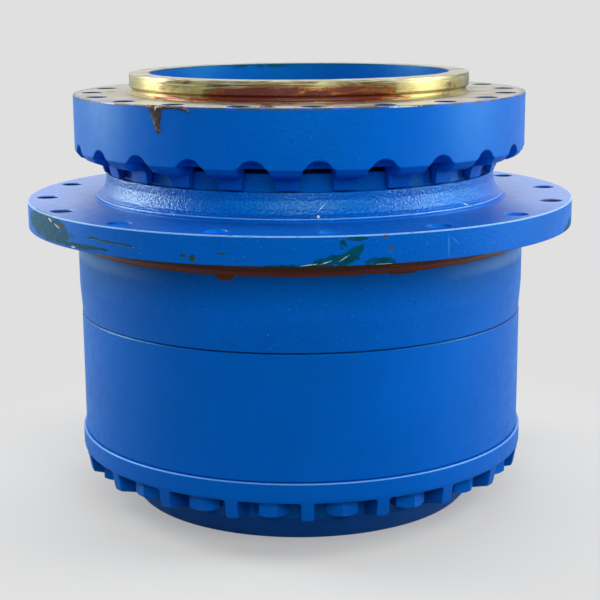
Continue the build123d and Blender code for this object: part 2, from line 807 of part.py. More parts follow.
# Fixed carrier of the second stage
with BuildPart() as stage_2_carrier:
    for bottom_z, thickness in ((stage_2_plate_z, stage_2_plate), (stage_2_front_bottom, stage_2_front_plate)):
        with BuildSketch(Plane.XY.offset(bottom_z)):
            Circle(carrier_rim_radius)
            Circle(sun_clear_radius, mode=Mode.SUBTRACT)
            with round_places(stage_2_circle, stage_2_planet_count, 0):
                Circle(stage_2_pin_radius + slip_gap, mode=Mode.SUBTRACT)
        extrude(amount=thickness)
    with BuildSketch(Plane.XY.offset(stage_2_front_z)):
        with round_places(post_circle, stage_2_planet_count, 180 / stage_2_planet_count):
            Circle(post_radius)
    extrude(amount=stage_2_plate_z - stage_2_front_z)
    with BuildSketch(Plane.XY.offset(spindle_end_z)):
        Circle(spline_radius + carrier_collar_wall)
        Circle(spline_radius - spline_depth + slip_gap, mode=Mode.SUBTRACT)
        with PolarLocations(spline_middle_radius, spline_teeth):
            Rectangle(
                spline_depth + 2 * (spline_root_room + slip_gap),
                spline_pitch + slip_gap,
                mode=Mode.SUBTRACT,
            )
    extrude(amount=spline_length - running_gap)
save(stage_2_carrier.part, "stage_2_carrier")

# Turning carrier of the first stage
with BuildPart() as stage_1_carrier:
    for bottom_z, thickness, bore in (
        (stage_1_plate_z, stage_1_plate, sun_tail_radius + slip_gap),
        (stage_1_front_bottom, stage_1_front_plate, sun_clear_radius),
    ):
        with BuildSketch(Plane.XY.offset(bottom_z)):
            Circle(carrier_rim_radius)
            Circle(bore, mode=Mode.SUBTRACT)
            with round_places(stage_1_circle, stage_1_planet_count, 0):
                Circle(stage_1_pin_radius + slip_gap, mode=Mode.SUBTRACT)
        extrude(amount=thickness)
    with BuildSketch(Plane.XY.offset(stage_1_front_z)):
        with round_places(post_circle, stage_1_planet_count, 180 / stage_1_planet_count):
            Circle(post_radius)
    extrude(amount=stage_1_plate_z - stage_1_front_z)
save(stage_1_carrier.part, "stage_1_carrier")

# Planets of both stages, each on its bush and pin
for stage, count, teeth, circle, pin_radius, bush_wall, planet_z, width, low_z, high_z in (
    (2, stage_2_planet_count, stage_2_planet_teeth, stage_2_circle, stage_2_pin_radius, stage_2_bush_wall,
        stage_2_planet_z, stage_2_face_width, stage_2_front_bottom, spindle_end_z),
    (1, stage_1_planet_count, stage_1_planet_teeth, stage_1_circle, stage_1_pin_radius, stage_1_bush_wall,
        stage_1_planet_z, stage_1_face_width, stage_1_front_bottom, stage_1_plate_z + stage_1_plate),
):
    bush_radius = pin_radius + journal_gap + bush_wall
    with BuildPart() as planet_blank:
        add(toothed_wheel(teeth, -sun_shift, 180 / teeth, planet_z, width))
        with BuildSketch(Plane.XY.offset(planet_z)):
            Circle(bush_radius + slip_gap)
        extrude(amount=width, mode=Mode.SUBTRACT)
    with BuildPart() as bush_blank:
        with BuildSketch(Plane.XY.offset(planet_z)):
            Circle(bush_radius)
            Circle(pin_radius + journal_gap, mode=Mode.SUBTRACT)
        extrude(amount=width)
    for index, spot in enumerate(round_places(circle, count, 0).locations, start=1):
        with BuildPart() as planet:
            with Locations(spot):
                add(planet_blank.part)
        save(planet.part, f"stage_{stage}_planet_{index}")
        with BuildPart() as bush:
            with Locations(spot):
                add(bush_blank.part)
        save(bush.part, f"stage_{stage}_planet_bush_{index}")
    with BuildPart() as pins:
        with BuildSketch(Plane.XY.offset(low_z)):
            with round_places(circle, count, 0):
                Circle(pin_radius)
        extrude(amount=high_z - low_z)
    save(pins.part, f"stage_{stage}_planet_pins")
    with BuildPart() as thrust_washers:
        for washer_bottom in (planet_z - running_gap - thrust_washer, planet_z + width + running_gap):
            with BuildSketch(Plane.XY.offset(washer_bottom)):
                with round_places(circle, count, 0):
                    Circle(bush_radius + thrust_washer_rim)
                    Circle(pin_radius + slip_gap, mode=Mode.SUBTRACT)
            extrude(amount=thrust_washer)
    save(thrust_washers.part, f"stage_{stage}_thrust_washers")

# Second sun: its tail sits in the first carrier
with BuildPart() as stage_2_sun:
    add(toothed_wheel(stage_2_sun_teeth, sun_shift, place(0), stage_2_planet_z, stage_2_face_width))
    with BuildSketch(Plane.XY.offset(stage_1_plate_z)):
        Circle(sun_tail_radius)
    extrude(amount=stage_2_planet_z - stage_1_plate_z)
    with BuildSketch(Plane.XY.offset(stage_1_plate_z)):
        Circle(sun_bore_radius)
    extrude(amount=stage_2_planet_z + stage_2_face_width - stage_1_plate_z, mode=Mode.SUBTRACT)
save(stage_2_sun.part, "stage_2_sun")

# First sun and its shaft, up through the second sun to the motor's coupling
with BuildPart() as sun_shaft:
    add(toothed_wheel(stage_1_sun_teeth, sun_shift, place(0), stage_1_planet_z, stage_1_face_width))
    with BuildSketch(Plane.XY.offset(thrust_pad_z + thrust_pad_height + running_gap)):
        Circle(input_shaft_radius)
    extrude(amount=coupling_z + coupling_length / 2 - thrust_pad_z - thrust_pad_height - running_gap)
save(sun_shaft.part, "stage_1_sun_shaft")

with BuildPart() as coupling:
    with BuildSketch(Plane.XY.offset(coupling_z)):
        Circle(coupling_radius)
        Circle(input_shaft_radius + slip_gap, mode=Mode.SUBTRACT)
    extrude(amount=coupling_length)
save(coupling.part, "shaft_coupling")
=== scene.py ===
import json
import math

import bmesh
import bpy
from mathutils import Matrix, Vector


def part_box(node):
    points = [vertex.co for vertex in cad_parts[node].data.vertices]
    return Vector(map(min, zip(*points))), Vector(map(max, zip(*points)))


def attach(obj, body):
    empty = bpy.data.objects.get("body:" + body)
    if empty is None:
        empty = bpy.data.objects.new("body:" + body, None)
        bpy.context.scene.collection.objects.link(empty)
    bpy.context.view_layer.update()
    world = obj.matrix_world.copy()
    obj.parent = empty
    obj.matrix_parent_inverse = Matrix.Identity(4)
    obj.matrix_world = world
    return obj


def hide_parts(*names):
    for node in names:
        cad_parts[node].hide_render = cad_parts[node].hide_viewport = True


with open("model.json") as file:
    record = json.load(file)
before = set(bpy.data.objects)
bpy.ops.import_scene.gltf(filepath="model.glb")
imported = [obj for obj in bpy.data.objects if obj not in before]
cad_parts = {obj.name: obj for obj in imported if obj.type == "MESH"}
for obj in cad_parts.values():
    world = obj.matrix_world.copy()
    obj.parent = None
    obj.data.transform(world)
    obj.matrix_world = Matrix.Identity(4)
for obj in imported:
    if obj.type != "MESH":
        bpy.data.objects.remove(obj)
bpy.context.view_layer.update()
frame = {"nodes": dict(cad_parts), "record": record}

mm = 0.001
frontAngle = -90.0  # the side the camera sees, in degrees from the X axis


# Small helpers for node trees
def put(tree, kind, inputs=None, **settings):
    # A node with its settings, and with its inputs fed by name or number
    node = tree.nodes.new(kind)
    for name, value in settings.items():
        setattr(node, name, value)
    for label, value in (inputs or {}).items():
        feed(tree, node.inputs[label], value)
    return node


def feed(tree, socket, value):
    if isinstance(value, bpy.types.NodeSocket):
        tree.links.new(value, socket)
    else:
        socket.default_value = value


def calc(tree, operation, a, b=0.0):
    return put(tree, "ShaderNodeMath", {0: a, 1: b}, operation=operation).outputs[0]


def joined(tree, operation, values):
    total = values[0]
    for value in values[1:]:
        total = calc(tree, operation, total, value)
    return total


def times(tree, *values):
    return joined(tree, "MULTIPLY", values)


def plus(tree, *values):
    return joined(tree, "ADD", values)


def minus(tree, a, b):
    return calc(tree, "SUBTRACT", a, b)


def either(tree, *masks):
    return joined(tree, "MAXIMUM", masks)


def length(tree, a, b):
    return calc(tree, "SQRT", plus(tree, times(tree, a, a), times(tree, b, b)))


def rise(tree, value, low, high):
    # 0 at low, 1 at high, smooth between; low may be the larger one
    inputs = {"Value": value, "From Min": low, "From Max": high}
    return put(tree, "ShaderNodeMapRange", inputs, interpolation_type="SMOOTHSTEP", clamp=True).outputs[0]


def within(tree, value, low, high, soft):
    return times(tree, rise(tree, value, low - soft, low + soft), rise(tree, value, high + soft, high - soft))


def mixed(tree, factor, a, b):
    return put(tree, "ShaderNodeMix", {0: factor, 6: a, 7: b}, data_type="RGBA").outputs[2]


def lerp(tree, factor, a, b):
    return put(tree, "ShaderNodeMix", {0: factor, 2: a, 3: b}, data_type="FLOAT").outputs[0]


def noise(tree, vector, scale, detail, roughness=0.5, distortion=0.0):
    inputs = {"Vector": vector, "Scale": scale, "Detail": detail, "Roughness": roughness}
    return put(tree, "ShaderNodeTexNoise", {**inputs, "Distortion": distortion}).outputs[0]


def patches(tree, vector, look):
    # Mask of noise: what the noise takes, then the two levels that the mask rises between
    *cloud, low, high = look
    return rise(tree, noise(tree, vector, *cloud), low, high)


def stretched(tree, vector, scale):
    return put(tree, "ShaderNodeMapping", {"Vector": vector, "Scale": scale}).outputs[0]


def bumped(tree, height, normal):
    # The height is in mm
    return put(tree, "ShaderNodeBump", {"Height": height, "Normal": normal, "Distance": mm}).outputs[0]


def objectPlace(tree):
    return put(tree, "ShaderNodeTexCoord").outputs["Object"]


def newGroup(name, kind, inputs, outputs):
    # A socket is its name and kind, and an input may have a value
    tree = bpy.data.node_groups.new(name, kind)
    for way, sockets in (("INPUT", inputs), ("OUTPUT", outputs)):
        for label, holds, *value in sockets:
            socket = tree.interface.new_socket(label, in_out=way, socket_type="NodeSocket" + holds)
            if value:
                socket.default_value = value[0]
    return tree, put(tree, "NodeGroupInput").outputs, put(tree, "NodeGroupOutput").inputs


def useGroup(tree, group, values):
    return put(tree, "ShaderNodeGroup", values, node_tree=group).outputs


def zone(tree, place, limits):
    # Mask of a place on the drive. A limit is Radius, Height or Angle, then where it starts and where it
    # is full, or else its low, high and softness
    masks = [(rise if len(ends) == 2 else within)(tree, place[label], *ends) for label, *ends in limits]
    return times(tree, *masks)


def anyZone(tree, place, limits):
    return either(tree, *[zone(tree, place, [limit]) for limit in limits])


def srgb(red, green, blue):
    # A colour as a paint card gives it, 0 to 255, made linear
    parts = [channel / 255 for channel in (red, green, blue)]
    return (*[part / 12.92 if part <= 0.04045 else ((part + 0.055) / 1.055) ** 2.4 for part in parts], 1.0)


# Place on the drive: radius and height in mm, angle in degrees from the front
def makePlaceGroup():
    outputs = [("Radius", "Float"), ("Angle", "Float"), ("Height", "Float")]
    tree, _, out = newGroup("placeOnDrive", "ShaderNodeTree", [], outputs)
    x, y, z = put(tree, "ShaderNodeSeparateXYZ", {0: objectPlace(tree)}).outputs
    turn = calc(tree, "ARCTAN2", x, times(tree, y, -1.0))
    feed(tree, out["Radius"], times(tree, length(tree, x, y), 1 / mm))
    feed(tree, out["Angle"], times(tree, turn, 180 / math.pi))
    feed(tree, out["Height"], times(tree, z, 1 / mm))
    return tree


# Where an edge that stands out is rubbed, and the normal that rounds it
edgeRub = {
    "samples": 4,
    "facing": (0.98, 0.86),  # how far the rounded normal agrees with the flat one, at no edge and at a full one
    "grain": (5, 0.6),
    "start": 0.80,
    "amount": 0.4,
    "soft": 0.06,
}


def makeEdgeGroup():
    e = edgeRub
    inputs = [("Radius", "Float", 0.001), ("Grain", "Float", 130), ("Amount", "Float", 0.5)]
    outputs = [("Rub", "Float"), ("Normal", "Vector")]
    tree, given, out = newGroup("edgeRub", "ShaderNodeTree", inputs, outputs)
    bevel = put(tree, "ShaderNodeBevel", {"Radius": given["Radius"]}, samples=e["samples"]).outputs[0]
    flat = put(tree, "ShaderNodeNewGeometry").outputs["Normal"]
    alike = put(tree, "ShaderNodeVectorMath", {0: bevel, 1: flat}, operation="DOT_PRODUCT").outputs["Value"]
    ragged = noise(tree, objectPlace(tree), given["Grain"], *e["grain"])
    start = minus(tree, e["start"], times(tree, given["Amount"], e["amount"]))
    torn = rise(tree, ragged, start, plus(tree, start, e["soft"]))
    feed(tree, out["Rub"], times(tree, rise(tree, alike, *e["facing"]), torn))
    feed(tree, out["Normal"], bevel)
    return tree


# Blue enamel of the castings, and the joint lines that show in it
blue = {
    "paint": srgb(0, 84, 184),
    "shade": srgb(0, 70, 160),
    "bare": srgb(110, 165, 214),
    "speck": srgb(0, 34, 84),
    "fleck": srgb(96, 165, 228),
    "specularTint": (0.02, 0.84, 1, 1),
    "warmTint": (1, 0.55, 0.3, 1),
    # pale blue of painted highlights along edges
    "paintedHighlight": srgb(140, 186, 236),
    "seam": srgb(0, 22, 62),
    "seams": [("Height", 75.2, 75.9, 0.15), ("Height", 198.3, 199.7, 0.15)],
    "seamZone": [("Radius", 228, 229)],
    "seamShare": 0.85,
    "drift": (9, 3, 0.6, 0.32, 0.68),
    "driftShare": 0.35,
    "mottle": (85, 4, 0.6, 0.35, 0.65),
    "mottleShare": 0.15,
    "mottleRoughness": 0.08,
    "specks": (620, 2, 0.66, 0.72),
    "flecks": (430, 3, 0.6, 0.67, 0.71),
    "fleckShare": 0.6,
    "grain": (3, 0.55),
    "peel": (520, 1),
    "rubDepth": 0.12,
    "rubRoughness": 0.2,
}


# Enamel on metal: tone drift, specks, orange peel, casting grain and rubbed edges
def makePaintGroup(edgeGroup):
    inputs = [
        ("Paint", "Color", blue["paint"]),
        ("Shade", "Color", blue["shade"]),
        ("Bare", "Color", blue["bare"]),
        ("Grain Size", "Float", 3),
        ("Grain Depth", "Float", 0.12),
        ("Peel Depth", "Float", 0.03),
        ("Specks", "Float", 0.3),
        ("Edge Radius", "Float", 0.001),
        ("Rub", "Float", 0.4),
        ("Gloss", "Float", 0.35),
    ]
    outputs = [("Color", "Color"), ("Roughness", "Float"), ("Normal", "Vector")]
    tree, given, out = newGroup("enamel", "ShaderNodeTree", inputs, outputs)
    where = objectPlace(tree)
    edge = useGroup(tree, edgeGroup, {"Radius": given["Edge Radius"], "Amount": given["Rub"]})
    drift, mottle = patches(tree, where, blue["drift"]), patches(tree, where, blue["mottle"])
    tone = plus(tree, times(tree, drift, blue["driftShare"]), times(tree, mottle, blue["mottleShare"]))
    colour = mixed(tree, tone, given["Paint"], given["Shade"])
    specks = times(tree, patches(tree, where, blue["specks"]), given["Specks"])
    colour = mixed(tree, specks, colour, blue["speck"])
    flecks = times(tree, patches(tree, where, blue["flecks"]), given["Specks"], blue["fleckShare"])
    colour = mixed(tree, flecks, colour, blue["fleck"])
    colour = mixed(tree, edge["Rub"], colour, given["Bare"])
    grainScale = calc(tree, "DIVIDE", 1 / mm, given["Grain Size"])
    grain = times(tree, noise(tree, where, grainScale, *blue["grain"]), given["Grain Depth"])
    peel = times(tree, noise(tree, where, *blue["peel"]), given["Peel Depth"])
    height = minus(tree, plus(tree, grain, peel), times(tree, edge["Rub"], blue["rubDepth"]))
    duller = times(tree, mottle, blue["mottleRoughness"]), times(tree, edge["Rub"], blue["rubRoughness"])
    feed(tree, out["Color"], colour)
    feed(tree, out["Roughness"], plus(tree, given["Gloss"], *duller))
    feed(tree, out["Normal"], bumped(tree, height, edge["Normal"]))
    return tree


# One ragged spot: Across and Along are 1 at its border
raggedSpot = {"cloud": (5, 0.62), "soft": 0.08}


def makeSpotGroup():
    soft = raggedSpot["soft"]
    inputs = [("Across", "Float"), ("Along", "Float"), ("Ragged", "Float", 0.5), ("Grain", "Float", 120)]
    tree, given, out = newGroup("raggedSpot", "ShaderNodeTree", inputs, [("Mask", "Float")])
    wobble = minus(tree, noise(tree, objectPlace(tree), given["Grain"], *raggedSpot["cloud"]), 0.5)
    reach = plus(tree, length(tree, given["Across"], given["Along"]), times(tree, wobble, given["Ragged"]))
    feed(tree, out["Mask"], rise(tree, reach, 1.0 + soft, 1.0 - soft))
    return tree


placeGroup = makePlaceGroup()
edgeGroup = makeEdgeGroup()
paintGroup = makePaintGroup(edgeGroup)
spotGroup = makeSpotGroup()
print("shader groups: 4")


def newMaterial(name, **settings):
    material = bpy.data.materials.new(name)
    material.use_nodes = True
    tree = material.node_tree
    shader = tree.nodes["Principled BSDF"]
    for label, value in settings.items():
        shader.inputs[label.replace("_", " ")].default_value = value
    return material, tree, shader


def paintedMaterial(name, values):
    # Material of a blue casting, with its enamel and the place on the drive
    material, tree, shader = newMaterial(name, Specular_Tint=blue["specularTint"])
    return material, tree, shader, useGroup(tree, placeGroup, {}), useGroup(tree, paintGroup, values)


def spots(tree, place, marks):
    # Joined mask of marks: angle, height, half width and half height in mm, lean in mm per mm,
    # raggedness, grain
    masks = []
    for angle, middle, wide, tall, lean, ragged, grain in marks:
        lap = times(tree, minus(tree, place["Angle"], angle), math.pi / 180, place["Radius"])
        lift = minus(tree, minus(tree, place["Height"], middle), times(tree, lap, lean))
        across, along = calc(tree, "DIVIDE", lap, wide), calc(tree, "DIVIDE", lift, tall)
        values = {"Across": across, "Along": along, "Ragged": ragged, "Grain": grain}
        masks.append(useGroup(tree, spotGroup, values)["Mask"])
    return either(tree, *masks)


def finishShader(tree, shader, colour, rough, normal, metal=0, **more):
    feed(tree, shader.inputs["Base Color"], colour)
    feed(tree, shader.inputs["Roughness"], rough)
    feed(tree, shader.inputs["Normal"], normal)
    feed(tree, shader.inputs["Metallic"], metal)
    for label, value in more.items():
        feed(tree, shader.inputs[label.replace("_", " ")], value)


def seamed(tree, place, colour):
    # Dirt in the joint lines above and below the ring gear
    lines = times(tree, anyZone(tree, place, blue["seams"]), zone(tree, place, blue["seamZone"]))
    return mixed(tree, times(tree, lines, blue["seamShare"]), colour, blue["seam"])


# Spindle's paint, with its bore, tapped holes and rim
spindleFinish = {
    "paint": {"Grain Size": 3.2, "Grain Depth": 0.08, "Peel Depth": 0.04, "Specks": 0.35, "Rub": 0.25},
    "hole": srgb(34, 30, 18),
    "bore": srgb(4, 76, 154),
    "boreStain": srgb(10, 40, 34),
    "chip": srgb(196, 208, 200),
    "rimDirt": srgb(10, 66, 84),
    "boreZone": [("Radius", 155.8, 155.2), ("Height", 351, 353)],
    "stainZone": [("Height", 437.5, 441), ("Angle", -176, -150, 6)],
    "stainGrain": (42, 5, 0.65, 0.42, 0.56),
    "stainStretch": (1, 1, 2),
    "lipZone": [("Height", 441, 441.8)],
    "lipShare": 0.75,
    "holeZone": [("Radius", 202.5, 225.5, 0.4), ("Height", 422.9, 422.4), ("Height", 383, 384)],
    "holeRoughness": 0.9,
    "wallZone": [("Radius", 229, 231)],
    "rimZone": [("Height", 420.6, 421.4)],
    "rimGrain": (60, 5, 0.7, 0.44, 0.52),
    "rimStretch": (1, 1, 0.1),
    "rimShare": 0.9,
    "rimChips": [
        (-50, 422, 12, 0.5, 0, 1.9, 300),
        (24, 422, 16, 0.5, 0, 2, 300),
    ],
    "chipDepth": 0.15,
    "peelGrain": (260, 2),
    "peelZone": [("Angle", -14, 14, 16)],
    "peelDepth": 0.3,
}


def spindleMaterial():
    s = spindleFinish
    material, tree, shader, place, paint = paintedMaterial("spindlePaint", s["paint"])
    where = objectPlace(tree)
    # Bore: a darker blue than the outside, painted shade inside the recess, stained along its lip and in a
    # patch at the back left
    patchy = patches(tree, stretched(tree, where, s["stainStretch"]), s["stainGrain"])
    lip = times(tree, zone(tree, place, s["lipZone"]), s["lipShare"])
    stain = either(tree, times(tree, zone(tree, place, s["stainZone"]), patchy), lip)
    inside = mixed(tree, stain, s["bore"], s["boreStain"])
    colour = mixed(tree, zone(tree, place, s["boreZone"]), paint["Color"], inside)
    # Inside the tapped holes: near black, painted shade
    hole = zone(tree, place, s["holeZone"])
    colour = mixed(tree, hole, colour, s["hole"])
    # Rim of the frame flange: dirt in its upper edge, and chips
    wall = zone(tree, place, s["wallZone"])
    rim = times(tree, wall, zone(tree, place, s["rimZone"]))
    broken = patches(tree, stretched(tree, where, s["rimStretch"]), s["rimGrain"])
    colour = mixed(tree, times(tree, rim, broken, s["rimShare"]), colour, s["rimDirt"])
    chips = times(tree, spots(tree, place, s["rimChips"]), wall)
    colour = mixed(tree, chips, colour, s["chip"])
    peel = times(tree, noise(tree, where, *s["peelGrain"]), zone(tree, place, s["peelZone"]), s["peelDepth"])
    normal = bumped(tree, plus(tree, peel, times(tree, chips, s["chipDepth"])), paint["Normal"])
    tint = mixed(tree, rim, blue["specularTint"], blue["warmTint"])
    rough = lerp(tree, hole, paint["Roughness"], s["holeRoughness"])
    finishShader(tree, shader, colour, rough, normal, Specular_Tint=tint)
    return material


# Bare steel of the spigot and the top face, with old oil on it
steelFinish = {
    "edge": {"Radius": 0.0008, "Amount": 0.7, "Grain": 200},
    "gold": srgb(160, 148, 94),
    "goldDark": srgb(88, 72, 34),
    "cream": srgb(206, 200, 168),
    "oil": srgb(82, 20, 4),
    "oilEdge": srgb(160, 76, 20),
    "face": srgb(128, 126, 114),
    "faceStain": srgb(84, 72, 46),
    "spigotZone": [("Radius", 176.6, 175.8), ("Height", 442.9, 442.3)],
    "turning": (4, 5, 0.6, 0.4),
    "turningStretch": (6, 6, 330),
    "turningDepth": 0.18,
    "clouds": (20, 5, 0.62, 0.6),
    "cloudStretch": (1, 1, 2.4),
    "cloudRange": (0.44, 0.64),
    "dullZone": [("Angle", -32, 24, 12)],
    "dull": 0.1,
    "upperZone": [("Height", 433, 441)],
    "upper": 0.1,
    "creamRange": (0.56, 0.74),
    "lowZone": [("Height", 423, 426.2, 2.5), ("Angle", -60, 40, 14)],
    "flowZone": [("Height", 424, 439, 3), ("Angle", -30, 26, 12)],
    "flow": (17, 6, 0.68, 1),
    "flowStretch": (1, 1, 5),
    "wetter": 0.2,
    "drier": -0.06,
    "oilRange": (0.58, 0.66),
    "oilEdgeRange": (0.54, 0.60),
    "oilShare": 0.95,
    "faceGrain": (34, 6, 0.66, 0.8, 0.46, 0.66),
    "rimZone": [("Radius", 225, 230)],
    "rimGrain": (120, 5, 0.7, 0.46, 0.56),
    "share": 0.8,
    "rough": {"face": 0.46, "spigot": 0.32, "oil": 0.14},
    "metal": {"face": 0.6, "spigot": 0.85, "oil": 0.05},
}


def steelMaterial():
    s = steelFinish
    share, rough, metal = s["share"], s["rough"], s["metal"]
    material, tree, shader = newMaterial("oiledSteel")
    where = objectPlace(tree)
    place = useGroup(tree, placeGroup, {})
    edge = useGroup(tree, edgeGroup, s["edge"])
    spigot = zone(tree, place, s["spigotZone"])
    # Spigot: turned gold, cloudy, and paler towards its top
    turning = noise(tree, stretched(tree, where, s["turningStretch"]), *s["turning"])
    clouds = noise(tree, stretched(tree, where, s["cloudStretch"]), *s["clouds"])
    clouds = plus(tree, clouds, times(tree, zone(tree, place, s["dullZone"]), s["dull"]))
    gold = mixed(tree, rise(tree, clouds, *s["cloudRange"]), s["gold"], s["goldDark"])
    paler = plus(tree, turning, times(tree, zone(tree, place, s["upperZone"]), s["upper"]))
    gold = mixed(tree, times(tree, rise(tree, paler, *s["creamRange"]), share), gold, s["cream"])
    # Oil in its foot, and in runs above it at the front
    flow = noise(tree, stretched(tree, where, s["flowStretch"]), *s["flow"])
    oily = plus(tree, zone(tree, place, s["lowZone"]), zone(tree, place, s["flowZone"]))
    wet = plus(tree, flow, times(tree, oily, s["wetter"]), s["drier"])
    oil = rise(tree, wet, *s["oilRange"])
    gold = mixed(tree, times(tree, rise(tree, wet, *s["oilEdgeRange"]), share), gold, s["oilEdge"])
    gold = mixed(tree, times(tree, oil, s["oilShare"]), gold, s["oil"])
    # Top face: stained all over, and more at its rim
    face = mixed(tree, times(tree, patches(tree, where, s["faceGrain"]), share), s["face"], s["faceStain"])
    rimDirt = times(tree, zone(tree, place, s["rimZone"]), patches(tree, where, s["rimGrain"]), share)
    face = mixed(tree, rimDirt, face, s["faceStain"])
    colour = mixed(tree, spigot, face, gold)
    colour = mixed(tree, times(tree, edge["Rub"], share), colour, s["cream"])
    rough = lerp(tree, oil, lerp(tree, spigot, rough["face"], rough["spigot"]), rough["oil"])
    normal = bumped(tree, times(tree, turning, spigot, s["turningDepth"]), edge["Normal"])
    dry = lerp(tree, spigot, metal["face"], metal["spigot"])
    finishShader(tree, shader, colour, rough, normal, lerp(tree, times(tree, oil, spigot), dry, metal["oil"]))
    return material


# Hub's paint, rust and knocks
hubFinish = {
    "paint": {"Grain Size": 2.6, "Grain Depth": 0.24, "Peel Depth": 0.04, "Specks": 0.6, "Rub": 0.4},
    "rust": srgb(66, 16, 4),
    "rustPale": srgb(140, 50, 10),
    "holePaint": srgb(20, 112, 220),
    # pale blue of the painted sheen on the drum's upper part
    "fog": srgb(120, 158, 214),
    # pale dust and painted reflection on the flange's top face, towards the sides
    "dust": srgb(196, 198, 206),
    # painted shade on the flange's top face at the front
    "shaded": srgb(0, 64, 144),
    "scuff": srgb(0, 46, 58),
    "scuffDark": srgb(2, 28, 22),
    "chip": srgb(196, 204, 190),
    "chipBrown": srgb(84, 42, 20),
    "tick": srgb(34, 52, 40),
    "scratch": srgb(70, 140, 210),
    "teal": srgb(0, 52, 84),
    # Where each finish lies; Side is the angle without its sign, and the wavy ones wander a little
    "wobbleGrain": (30, 4, 0.6),
    "wobble": 3,
    "bandZone": [
        ("Wavy Height", 271, 272),
        ("Wavy Angle", -61, 61, 2),
        ("Height", 291.2, 290.6),
        ("Radius", 262, 244),
        ("Radius", 226, 229),
    ],
    "dripZone": [("Radius", 246, 240)],
    "redZone": [("Wavy Height", 272.5, 276.5, 1.5)],
    "fogZone": [
        ("Wavy Height", 259, 270, 4),
        ("Height", 276, 272),
        ("Side", 30, 62),
        ("Side", 130, 100),
    ],
    "topZone": [("Height", 315.9, 316.5), ("Radius", 213, 216)],
    "sideZone": [("Side", 32, 80)],
    "rimZone": [("Radius", 278, 280.5)],
    "neckZone": [("Radius", 213, 211.5), ("Radius", 196.5, 198), ("Height", 317.5, 319.5)],
    "holeZone": [("Radius", 250, 274, 0.3), ("Height", 291.6, 315.4, 0.3)],
    "rustyHoles": [("Angle", -70, -56, 1), ("Angle", 68, 80, 1)],
    "paintedHoles": [("Angle", -50, 62, 2)],
    # painted highlight lines: the sprocket flange's top edge and the neck's lip
    "highlightEdgeZone": [("Radius", 280.6, 281), ("Height", 315.5, 315.9)],
    "lipZone": [("Radius", 211, 212.4, 0.3), ("Height", 320.2, 321.2, 0.3)],
    "glossyAngles": [("Angle", -66, -34, 12), ("Angle", -6, 9, 12), ("Angle", 20, 40, 12)],
    "rustGrain": (40, 5, 0.65, 0.54, 0.70),
    "rustStretch": (1, 1, 7),
    "scuffTone": (140, 4, 0.7, 0.42, 0.60),
    "brokenGrain": (130, 6, 0.75, 0.34, 0.47),
    "brokenStretch": (1, 1, 1.5),
    "highlightRange": (0.2, 0.75),
    "hammer": (400, 2.5, 0.55),
    "depth": {"hammer": 1.2, "knocks": -0.3},
    "share": {"red": 0.85, "fog": 0.5, "dust": 0.26, "shaded": 0.7, "scuffs": 0.94, "scratches": 0.8},
    "lipShare": 0.6,
    "coatShare": 0.4,
    "rough": {"band": 0.28, "scuffs": 0.62, "neck": 0.24, "holes": 0.8, "coat": 0.1},
    "greenScuffs": [
        (-60.5, 305, 58, 13, -0.04, 0.8, 45),
        (-56, 303, 30, 9, -0.1, 0.7, 60),
        (-47, 294.5, 44, 2.4, 0.02, 1.2, 110),
        (-42.6, 304.4, 10, 1.1, 0, 1.4, 190),
        (6.6, 294.6, 20, 5.6, 0.15, 1.3, 90),
        (9.4, 300.5, 9, 6.5, 0.5, 1.4, 80),
        (14.4, 292.6, 15, 3.8, 0, 1.3, 110),
        (0, 290.2, 30, 1.9, 0, 1.4, 120),
        (10, 313.8, 9, 1.8, 0, 1.5, 150),
        (7.6, 309, 3, 4.6, 0, 1.5, 150),
        (71, 294, 24, 4, 0.2, 1.2, 80),
    ],
    "paleChips": [
        (-57.6, 312.6, 3.6, 1, -0.3, 1.3, 300),
        (-54.6, 308.6, 4.6, 0.8, -0.4, 1.3, 300),
        (-48.5, 292.5, 4, 0.7, 0, 1.7, 300),
        (1.4, 291.6, 8, 0.35, 0.12, 2.2, 300),
        (4.6, 293.6, 6, 0.35, 0.3, 2.2, 300),
        (7.8, 297, 5, 0.35, 0.6, 2.2, 300),
        (15, 290.4, 8, 0.35, 0, 2.4, 300),
    ],
    "brownChips": [
        (-58.2, 313.6, 3.4, 1.8, -0.2, 1.3, 240),
        (-53.3, 309.6, 4.6, 1.5, 0, 1.3, 240),
        (15.2, 314.5, 2.6, 1.1, 0, 1.4, 260),
        (16.3, 304.2, 2.2, 1.2, 0, 1.4, 260),
    ],
    "ticks": [
        (-37.8, 302.9, 25, 1.1, -0.04, 3.2, 420),
        (-33, 301.6, 6, 1, -0.1, 1.6, 420),
        (-21.6, 297.2, 3.2, 1.5, 0, 1.4, 260),
        (-19.6, 295.6, 3.2, 3, 0, 1.8, 260),
        (-14, 300.5, 4, 0.9, 0, 1.8, 260),
    ],
    "scratches": [
        (27.9, 302.5, 0.35, 11, 0, 0.6, 300),
        (29.4, 306, 4, 0.35, -0.9, 0.9, 300),
        (-18.3, 316.2, 11, 0.5, 0, 1.8, 300),
    ],
    "neckScratches": [
        (5.6, 330, 4, 0.35, 1, 2.2, 300),
        (4.6, 322.5, 1.2, 1.2, 0, 1.2, 260),
        (50, 322, 3, 0.5, -0.3, 1.8, 260),
    ],
    "rustDrips": [(-17.2, 271, 9, 4.5, 0, 0.8, 90), (24, 272, 16, 2.4, 0, 0.9, 80)],
}


